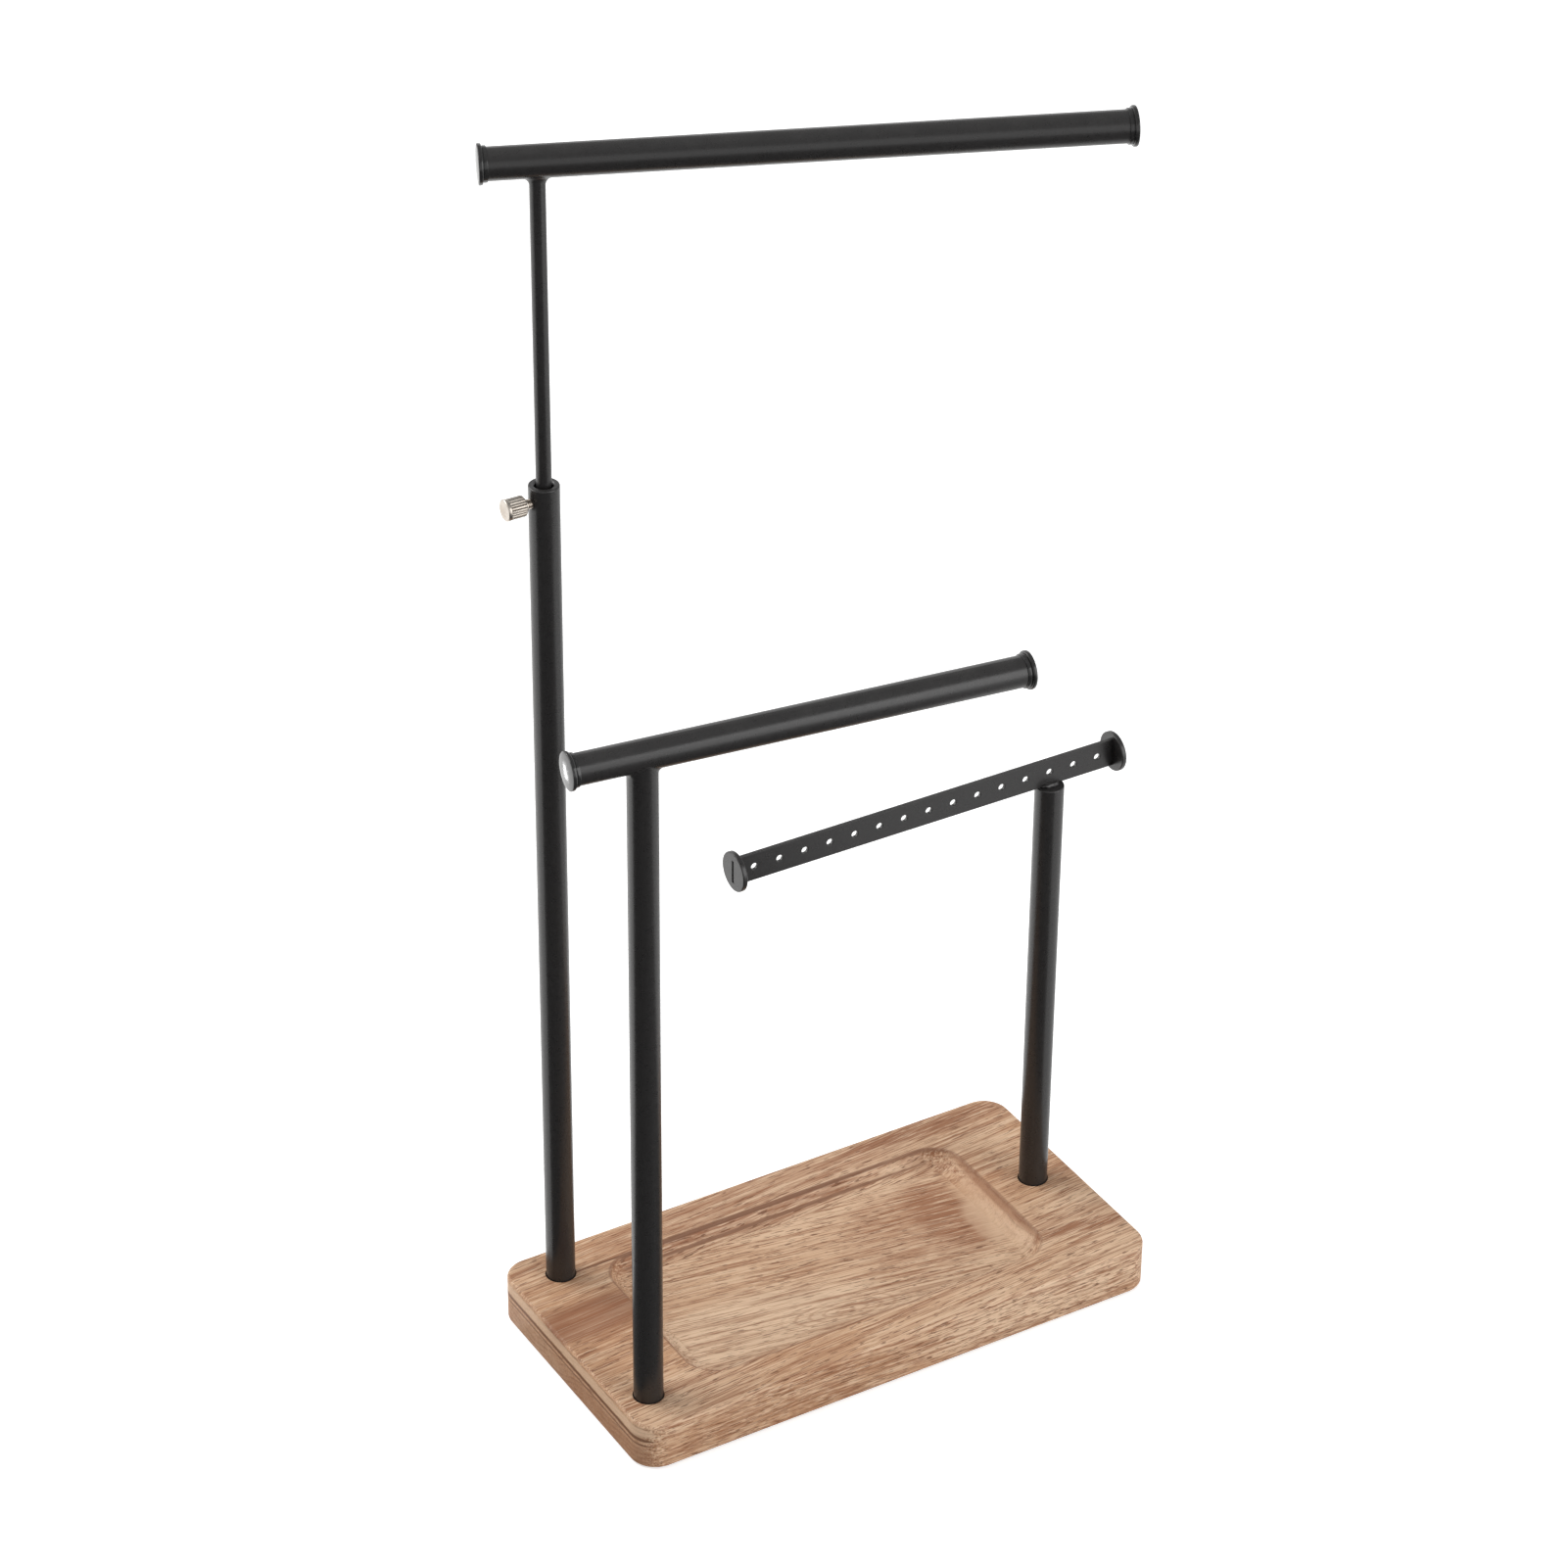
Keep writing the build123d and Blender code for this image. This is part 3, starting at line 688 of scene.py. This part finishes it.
# moulded end caps with a slightly domed face
capShape = {
    "steps": 96,
    "profile": [   # radius and height in mm, from the plug's end to the middle of the face
        (0, -9.0), (4.9, -9.0), (5.35, -8.8), (5.5, -8.4), (5.5, 0.0), (6.75, 0.0),
        (7.0, 0.11), (7.1, 0.38), (7.1, 1.4), (6.9, 1.5), (6.9, 1.8), (7.4, 1.8),
        (7.75, 1.92), (7.94, 2.16), (8.0, 2.5), (8.0, 3.15), (7.95, 3.36), (7.8, 3.51),
        (7.5, 3.6), (6.6, 3.7), (5.2, 3.82), (3.6, 3.915), (1.8, 3.98), (0, 4.0),
    ],
}
barEnds = {   # mm from the post's axis to each end of the tube
    "necklace_bar": {
        "place": (-106.0, 47.8, 551.0), "turn": -22.0, "left": 19.0, "right": 227.0,
        "body": "necklace_arm",
    },
    "bracelet_bar": {
        "place": (-113.7, -43.2, 339.0), "turn": -7.3, "left": 27.8, "right": 162.2,
        "body": "stand",
    },
}


def buildCap():
    shape = bmesh.new()
    profile = startProfile(shape, [(radius * mm, height * mm) for radius, height in capShape["profile"]])
    bmesh.ops.spin(shape, geom=profile, cent=(0, 0, 0), axis=(0, 0, 1), angle=math.tau,
                   steps=capShape["steps"], use_merge=True, use_duplicate=False)
    return shape


for barName, bar in barEnds.items():
    turn = math.radians(bar["turn"])
    barAlong = Vector((math.cos(turn), math.sin(turn), 0.0))
    for side, outward in (("left", -barAlong), ("right", barAlong)):
        cap = buildCap()
        standAlong(cap, Vector(bar["place"]) * mm + outward * bar[side] * mm, outward)
        capName = barName + "_cap_" + side
        addPiece(capName + "_moulded", cap, "black_cap_plastic", bar["body"], [capName])
print("bar caps made")


# fluted head of the clamp screw
headShape = {
    "around": 240,
    "flutes": 20,
    "depth": 0.34,         # mm
    "sharpness": 3,        # higher makes the flutes narrower
    "bore": (5.0, 2.05),   # depth and radius in mm
    "rings": [             # height and radius in mm, and how deep the flutes are there
        (0.0, 2.05, 0), (0.0, 2.7, 0), (0.12, 2.9, 0), (0.72, 2.9, 0), (0.8, 3.0, 0),
        (0.8, 3.75, 0.2), (0.95, 4.1, 0.7), (1.25, 4.3, 1), (7.55, 4.3, 1), (7.75, 4.26, 0.6),
        (7.8, 4.2, 0), (7.86, 4.4, 0), (8.0, 4.5, 0), (8.85, 4.5, 0), (9.1, 4.43, 0),
        (9.3, 4.22, 0), (9.4, 3.9, 0), (9.4, 3.5, 0), (9.3, 2.9, 0), (9.24, 1.6, 0),
        (9.22, 0.0, 0),
    ],
}


def ringAngles(ring):
    return [math.atan2(vert.co.y, vert.co.x) for vert in ring]


def buildHead():
    shape = bmesh.new()
    boreDepth, boreRadius = headShape["bore"]
    rings = [(boreDepth, 0.0, 0), (boreDepth, boreRadius, 0)] + headShape["rings"]
    bmesh.ops.create_circle(shape, cap_ends=False, radius=1.0, segments=headShape["around"])
    # the flutes' dip is kept as an attribute, which the metal finishes use to paint shade into the
    # flutes
    groove = shape.verts.layers.float.new("groove")
    ring = list(shape.verts)
    edges = list(shape.edges)
    startAngles = ringAngles(ring)
    angles = startAngles
    for number, (height, radius, flute) in enumerate(rings):
        if number:
            grown = bmesh.ops.extrude_edge_only(shape, edges=edges)["geom"]
            edges = [edge for edge in edgesOf(grown) if edge.is_boundary]
            ring = pointsOf(grown)
            angles = ringAngles(ring) if rings[number - 1][1] else startAngles
        for vert, angle in zip(ring, angles):
            wave = 0.5 + 0.5 * math.cos(headShape["flutes"] * angle)
            dip = wave ** headShape["sharpness"] * flute
            vert[groove] = dip
            reach = max(radius - dip * headShape["depth"], 0.0) * mm
            vert.co = (reach * math.cos(angle), reach * math.sin(angle), height * mm)
    return shape


screwLow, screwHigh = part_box("thumbscrew_head")
screwMiddle = (screwLow + screwHigh) / 2
head = buildHead()
standAlong(head, (screwHigh.x, screwMiddle.y, screwMiddle.z), (-1, 0, 0))
addPiece("thumbscrew_head_fluted", head, "nickel_plate", "thumbscrew", ["thumbscrew_head"])


# rolled thread of its stud
threadShape = {
    "pitch": 0.7, "crest": 2.0, "root": 1.6,   # mm
    "around": 36,
    "spare": 2,                                # turns that are cut off again
    "profile": [                               # shares of the pitch
        ("root", 0.0), ("root", 0.10), ("crest", 0.42),
        ("crest", 0.58), ("root", 0.90), ("root", 1.0),
    ],
    "sharp": 50.0,                             # degrees
}


def buildThread(length):
    shape = bmesh.new()
    pitch = threadShape["pitch"] * mm
    turns = math.ceil(length / pitch) + threadShape["spare"]
    steps = turns * threadShape["around"]
    profile = [(threadShape[part] * mm, (share - 1.0) * pitch) for part, share in threadShape["profile"]]
    bmesh.ops.spin(shape, geom=startProfile(shape, profile), cent=(0, 0, 0), axis=(0, 0, 1),
                   dvec=(0, 0, turns * pitch / steps), angle=math.tau * turns, steps=steps,
                   use_merge=False, use_duplicate=False)
    bmesh.ops.remove_doubles(shape, verts=shape.verts, dist=mergeGap)
    for height, side in ((0.0, -1), (length, 1)):
        bmesh.ops.bisect_plane(shape, geom=wholeShape(shape), plane_co=(0, 0, height),
                               plane_no=(0, 0, side), clear_outer=True)
        rim = [edge for edge in shape.edges
               if edge.is_boundary and abs(edge.verts[0].co.z - height) < samePlace]
        bmesh.ops.contextual_create(shape, geom=rim)
    return shape


studLow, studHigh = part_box("thumbscrew_stud")
thread = buildThread(studHigh.x - studLow.x)
standAlong(thread, (studHigh.x, screwMiddle.y, screwMiddle.z), (-1, 0, 0))
addPiece("thumbscrew_stud_threaded", thread, "nickel_plate", "thumbscrew", ["thumbscrew_stud"],
         threadShape["sharp"])
print("clamp screw made")


# earring strip with eased edges and hole rims
stripShape = {
    "holes": 15,
    "holeRadius": 1.5,   # mm
    "endMargin": 7.6,
    "tenon": 10.5,
    "tenonReach": 1.8,
    "ease": 0.28,
    "easeSegments": 3,
    "around": 32,
    "merge": 0.005,
    "tenonPoints": (0.3, 0.45),   # shares of the width where points move to the tenon's corners
    "corner": 60.0,               # degrees, edges at least this sharp are eased
    "sharp": 12.0,
}


def touchesRim(edge, pitch, width):
    middle = (edge.verts[0].co + edge.verts[1].co) / 2
    onSide = abs(abs(middle.x) - pitch / 2) < samePlace
    return onSide or abs(abs(middle.y) - width / 2) < samePlace


# square outline of one cell, joined to the hole in its middle
def buildHoleCell(shape, pitch, width):
    sideCuts = stripShape["around"] // 4 - 1
    bmesh.ops.create_grid(shape, x_segments=1, y_segments=1, size=0.5)
    bmesh.ops.scale(shape, vec=(pitch, width, 1.0), verts=shape.verts)
    bmesh.ops.subdivide_edges(shape, edges=shape.edges, cuts=sideCuts)
    bmesh.ops.delete(shape, geom=shape.faces[:], context="FACES_ONLY")
    within = [edge for edge in shape.edges if not touchesRim(edge, pitch, width)]
    bmesh.ops.delete(shape, geom=within, context="EDGES")
    outer = shape.edges[:]
    eighth = Matrix.Rotation(math.radians(45.0), 4, "Z")
    rim = bmesh.ops.create_circle(shape, cap_ends=False, radius=stripShape["holeRadius"] * mm,
                                  segments=stripShape["around"], matrix=eighth)["verts"]
    inner = list({edge for vert in rim for edge in vert.link_edges})
    bmesh.ops.bridge_loops(shape, edges=outer + inner)


# lengthens one end by its margin and then by the tenon
def growEnd(shape, side, edgeReach, length, width):
    tenonHalf = stripShape["tenon"] / 2 * mm
    nearShare, farShare = stripShape["tenonPoints"]
    ends = [vert for vert in shape.verts if abs(vert.co.x - side * edgeReach) < samePlace]
    for vert in ends:
        if width * nearShare < abs(vert.co.y) < width * farShare:
            vert.co.y = math.copysign(tenonHalf, vert.co.y)
    endEdges = [edge for edge in shape.edges if edge.verts[0] in ends and edge.verts[1] in ends]
    margin = (length / 2 - edgeReach, width)
    tenon = (stripShape["tenonReach"] * mm, tenonHalf + samePlace)
    for step, within in (margin, tenon):
        chosen = [edge for edge in endEdges if max(abs(vert.co.y) for vert in edge.verts) <= within]
        grown = bmesh.ops.extrude_edge_only(shape, edges=chosen)["geom"]
        points = pointsOf(grown)
        bmesh.ops.translate(shape, vec=(side * step, 0, 0), verts=points)
        endEdges = [edge for edge in edgesOf(grown)
                    if edge.verts[0] in points and edge.verts[1] in points]


def buildStrip(low, high):
    shape = bmesh.new()
    length = high.x - low.x - 2 * stripShape["tenonReach"] * mm
    width = high.z - low.z
    thick = high.y - low.y
    steps = stripShape["holes"] - 1
    pitch = (length - 2 * stripShape["endMargin"] * mm) / steps
    buildHoleCell(shape, pitch, width)
    cell = wholeShape(shape)
    for number in range(1, stripShape["holes"]):
        copied = bmesh.ops.duplicate(shape, geom=cell)["geom"]
        bmesh.ops.translate(shape, vec=(number * pitch, 0, 0), verts=pointsOf(copied))
    bmesh.ops.translate(shape, vec=(-steps * pitch / 2, 0, 0), verts=shape.verts)
    bmesh.ops.remove_doubles(shape, verts=shape.verts, dist=stripShape["merge"] * mm)
    for side in (-1, 1):
        growEnd(shape, side, stripShape["holes"] * pitch / 2, length, width)
    bmesh.ops.recalc_face_normals(shape, faces=shape.faces)
    plate = bmesh.ops.extrude_face_region(shape, geom=shape.faces[:])["geom"]
    bmesh.ops.translate(shape, vec=(0, 0, thick), verts=pointsOf(plate))
    bmesh.ops.translate(shape, vec=(0, 0, -thick / 2), verts=shape.verts)
    bmesh.ops.recalc_face_normals(shape, faces=shape.faces)
    cornerAngle = math.radians(stripShape["corner"])
    corners = [edge for edge in shape.edges
               if edge.is_manifold and edge.calc_face_angle() > cornerAngle
               and abs(edge.verts[0].co.z - edge.verts[1].co.z) < samePlace]
    bmesh.ops.bevel(shape, geom=corners, offset=stripShape["ease"] * mm, offset_type="OFFSET",
                    affect="EDGES", segments=stripShape["easeSegments"], profile=0.5, material=-1,
                    clamp_overlap=True)
    return shape


stripLow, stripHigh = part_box("earring_strip")
strip = buildStrip(stripLow, stripHigh)
onEdge = Matrix.Rotation(math.radians(90.0), 4, "X")
upright = Matrix.Translation((stripLow + stripHigh) / 2) @ onEdge
bmesh.ops.transform(strip, matrix=upright, verts=strip.verts)
addPiece("earring_strip_eased", strip, "black_powder_coat", "stand", ["earring_strip"],
         stripShape["sharp"])


# coated weld beads where the strip stands on its post
beadShape = {
    "half": (4.4, 1.9, 1.7),   # mm
    "aside": 0.8,              # mm from the strip's middle
    "detail": 5,
    "lump": 0.28,
    "lumpScale": 1.7,
    "seed": 7.3,
}


def buildBeads(low, high):
    shape = bmesh.new()
    middle = (low + high) / 2
    for side in (-1, 1):
        detail = beadShape["detail"]
        made = bmesh.ops.create_icosphere(shape, subdivisions=detail, radius=1.0)["verts"]
        start = Vector((side * beadShape["seed"], 0, 0))
        for vert in made:
            place = vert.co.copy()
            lump = noise.noise(place * beadShape["lumpScale"] + start)
            swell = 1.0 + beadShape["lump"] * lump
            vert.co = [part * half * swell for part, half in zip(place, beadShape["half"])]
        bmesh.ops.scale(shape, vec=(mm, mm, mm), verts=made)
        aside = side * beadShape["aside"] * mm
        bmesh.ops.translate(shape, vec=(middle.x, middle.y + aside, low.z), verts=made)
    return shape


beads = buildBeads(*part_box("earring_strip_weld"))
addPiece("earring_strip_weld_beads", beads, "black_powder_coat", "stand", ["earring_strip_weld"])
print("earring strip made")


# plain studio, sizes in m
white = (1.0, 1.0, 1.0, 1.0)
studioLook = {
    "floor": (0.80, 0.80, 0.80, 1.0),
    "floorGlow": 0.62,
    "glowFade": (-0.05, 0.25),   # towards the camera's right
    "fadedGlow": 0.3,
    "whiteFrom": (0.8, 2.4),     # from the middle
    "floorHalf": (6.0, 6.0),
    "openingInset": 0.0036,
    "ambient": (0.98, 0.99, 1.0, 1.0),
    "ambientStrength": 0.24,
}
cameraLook = {
    "place": (-0.89196, -1.44241, 1.33456),
    "yaw": -31.0416, "pitch": -32.2135, "roll": 0.4854,   # degrees
    "focal": 4993.0, "frame": 1601.0,                     # pixels
    "sensor": 36.0,
    "clip": (0.05, 50.0),
}
# dark fans on the floor from the base's outline towards the camera, seen only in reflections
flagLook = {
    "colour": (0.02, 0.02, 0.02, 1.0),
    "far": 2.6,
    "left": -60.0, "right": 42.0,   # degrees from the camera's direction
    "steps": 12,
    "level": 0.0006, "apart": 0.0002,
}
topFlagLook = {   # faintly glowing sheet overhead, also seen only in reflections
    "corners": [(-1.6, -1.4, 1.5), (1.6, -1.4, 1.5), (1.6, 1.6, 1.5), (-1.6, 1.6, 1.5)],
    "glow": 0.38,
}
lampLook = {
    "keyLight": {
        "place": (-0.95, 0.95, 1.2), "target": (0.0, 0.0, 0.05), "size": (1.5, 1.5),
        "power": 25.5, "colour": (1.0, 0.99, 0.97),
    },
    "frontLight": {
        "place": (0.75, -1.7, 0.78), "target": (0.0, 0.0, 0.3), "size": (1.3, 1.6),
        "power": 27.0, "hidden": "visible_glossy",
    },
    # what the bars mirror instead, larger and so weaker
    "barLight": {
        "place": (0.95, -1.6, 1.1), "target": (0.0, 0.0, 0.4), "size": (1.5, 2.8),
        "power": 27.0, "hidden": "visible_diffuse",
    },
    "topLight": {
        "place": (0.1, 0.2, 2.0), "target": (0.0, 0.0, 0.0), "size": (1.4, 1.4),
        "power": 9.0,
    },
    # small lamp that only the bracelet bar's left cap mirrors
    "capLight": {
        "place": (-0.2435, 0.373, 0.0737), "target": (-0.1452, -0.0392, 0.339), "size": (0.02, 0.03),
        "power": 0.032, "only": "bracelet_bar_cap_left_moulded",
    },
}


def seenDirectly(tree):
    rays = addNode(tree, "ShaderNodeLightPath").outputs
    mirrored = maths(tree, "MAXIMUM", rays["Is Glossy Ray"], rays["Is Transmission Ray"])
    return maths(tree, "MAXIMUM", rays["Is Camera Ray"], mirrored)


def stageMesh(name, shape, material):
    mesh = bpy.data.meshes.new(name)
    shape.to_mesh(mesh)
    shape.free()
    mesh.materials.append(material)
    made = bpy.data.objects.new(name, mesh)
    bpy.context.scene.collection.objects.link(made)
    return made


def buildFloorFinish():
    material = bpy.data.materials.new("paleFloor")
    material.use_nodes = True
    tree = material.node_tree
    tree.nodes.remove(tree.nodes["Principled BSDF"])
    matte = addNode(tree, "ShaderNodeBsdfDiffuse", None, {"Color": studioLook["floor"]}).outputs[0]
    # mirrored in the posts, the floor is dimmer on the camera's right
    place = addNode(tree, "ShaderNodeTexCoord").outputs["Object"]
    yaw = math.radians(cameraLook["yaw"])
    right = (math.cos(yaw), math.sin(yaw), 0.0)
    sideways = vectorMaths(tree, "DOT_PRODUCT", place, right)["Value"]
    mirrored = remap(tree, sideways, *studioLook["glowFade"], 1.0, studioLook["fadedGlow"])
    # and seen by the camera it is white out to the horizon
    away = vectorMaths(tree, "LENGTH", place)["Value"]
    whitened = remap(tree, away, *studioLook["whiteFrom"], 1.0, 1.0 / studioLook["floorGlow"])
    cameraRay = addNode(tree, "ShaderNodeLightPath").outputs["Is Camera Ray"]
    shown = maths(tree, "MAXIMUM", times(tree, cameraRay, whitened), mirrored)
    glow = times(tree, times(tree, seenDirectly(tree), shown), studioLook["floorGlow"])
    light = addNode(tree, "ShaderNodeEmission", None, {"Strength": glow}).outputs[0]
    both = addNode(tree, "ShaderNodeAddShader", None, {0: matte, 1: light}).outputs[0]
    # clear from behind, so that the underside shows from below
    behind = addNode(tree, "ShaderNodeNewGeometry").outputs["Backfacing"]
    clear = addNode(tree, "ShaderNodeBsdfTransparent").outputs[0]
    oneSided = addNode(tree, "ShaderNodeMixShader", None, {0: behind, 1: both, 2: clear}).outputs[0]
    feed(tree, tree.nodes["Material Output"].inputs["Surface"], oneSided)
    return material


# open under the base
def buildFloor():
    shape = bmesh.new()
    edges = []
    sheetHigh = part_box("base_sheet")[1]
    inset = studioLook["openingInset"]
    opening = (sheetHigh.x - inset, sheetHigh.y - inset)
    for halfX, halfY in (studioLook["floorHalf"], opening):
        signs = ((-1, -1), (1, -1), (1, 1), (-1, 1))
        corners = [shape.verts.new((x * halfX, y * halfY, 0.0)) for x, y in signs]
        edges += [shape.edges.new((corners[number - 1], corners[number])) for number in range(4)]
    bmesh.ops.bridge_loops(shape, edges=edges)
    shape.normal_update()
    bmesh.ops.reverse_faces(shape, faces=[face for face in shape.faces if face.normal.z < 0.0])
    stageMesh("floor", shape, buildFloorFinish())


def buildFlag(name, corners, glow=0.0):
    material = bpy.data.materials.new(name)
    material.use_nodes = True
    surface = material.node_tree.nodes["Principled BSDF"]
    surface.inputs["Base Color"].default_value = flagLook["colour"]
    surface.inputs["Emission Color"].default_value = white
    surface.inputs["Emission Strength"].default_value = glow
    shape = bmesh.new()
    shape.faces.new([shape.verts.new(corner) for corner in corners])
    flag = stageMesh(name, shape, material)
    for ray in ("camera", "diffuse", "transmission", "volume_scatter", "shadow"):
        setattr(flag, "visible_" + ray, False)


def rimReach(middle, turn):
    baseLow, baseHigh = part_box("wooden_base")
    reaches = []
    for axis, step in enumerate((math.cos(turn), math.sin(turn))):
        edge = (baseHigh if step > 0.0 else baseLow)[axis]
        reaches.append((edge - middle[axis]) / step)
    return min(reaches)


def flagCorners(middle, level):
    towards = math.atan2(cameraLook["place"][1], cameraLook["place"][0])
    left, right, steps = flagLook["left"], flagLook["right"], flagLook["steps"]
    turns = [towards + math.radians(left + (right - left) * step / steps) for step in range(steps + 1)]
    nearEdge = [(rimReach(middle, turn), turn) for turn in turns]
    farEdge = [(flagLook["far"], turn) for turn in turns[::-1]]
    return [(middle.x + reach * math.cos(turn), middle.y + reach * math.sin(turn), level)
            for reach, turn in nearEdge + farEdge]


def addLamp(name, look):
    data = bpy.data.lights.new(name, "AREA")
    data.shape = "RECTANGLE"
    data.size, data.size_y = look["size"]
    data.energy = look["power"]
    data.color = look.get("colour", white[:3])
    lamp = bpy.data.objects.new(name, data)
    lamp.location = look["place"]
    aim = Vector(look["target"]) - Vector(look["place"])
    lamp.rotation_euler = aim.to_track_quat("-Z", "Y").to_euler()
    bpy.context.scene.collection.objects.link(lamp)
    if "hidden" in look:
        setattr(lamp, look["hidden"], False)
    if "only" in look:
        receivers = bpy.data.collections.new(name + "Receivers")
        receivers.objects.link(bpy.data.objects[look["only"]])
        lamp.light_linking.receiver_collection = receivers


def addWorld():
    world = bpy.data.worlds.new("studioWorld")
    world.use_nodes = True
    bpy.context.scene.world = world
    sky = world.node_tree
    sockets = sky.nodes["Background"].inputs
    direct = seenDirectly(sky)
    feed(sky, sockets["Color"], mixColours(sky, direct, studioLook["ambient"], white))
    span = {"Value": direct, "To Min": studioLook["ambientStrength"]}
    feed(sky, sockets["Strength"], addNode(sky, "ShaderNodeMapRange", None, span).outputs[0])


buildFloor()
for number, postName in enumerate(("tall_post_tube", "bracelet_post", "earring_post")):
    postLow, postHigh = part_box(postName)
    flagLevel = flagLook["level"] + number * flagLook["apart"]
    buildFlag(postName + "Flag", flagCorners((postLow + postHigh) / 2, flagLevel))
buildFlag("topFlag", topFlagLook["corners"], topFlagLook["glow"])
for lampName, look in lampLook.items():
    addLamp(lampName, look)
addWorld()
bpy.context.scene.view_settings.view_transform = "Standard"
print("studio set")


def addCamera():
    data = bpy.data.cameras.new("photoCamera")
    data.sensor_width = cameraLook["sensor"]
    data.lens = cameraLook["focal"] * cameraLook["sensor"] / cameraLook["frame"]
    data.clip_start, data.clip_end = cameraLook["clip"]
    yaw, pitch, roll = (math.radians(cameraLook[name]) for name in ("yaw", "pitch", "roll"))
    ahead = Vector((math.sin(-yaw) * math.cos(pitch), math.cos(yaw) * math.cos(pitch), math.sin(pitch)))
    right = ahead.cross(Vector((0, 0, 1))).normalized()
    up = right.cross(ahead)
    rolledRight = right * math.cos(roll) + up * math.sin(roll)
    rolledUp = up * math.cos(roll) - right * math.sin(roll)
    turned = Matrix((rolledRight, rolledUp, -ahead)).transposed().to_4x4()
    camera = bpy.data.objects.new("photoCamera", data)
    camera.matrix_world = Matrix.Translation(cameraLook["place"]) @ turned
    bpy.context.scene.collection.objects.link(camera)
    bpy.context.scene.camera = camera


addCamera()
print("camera placed")
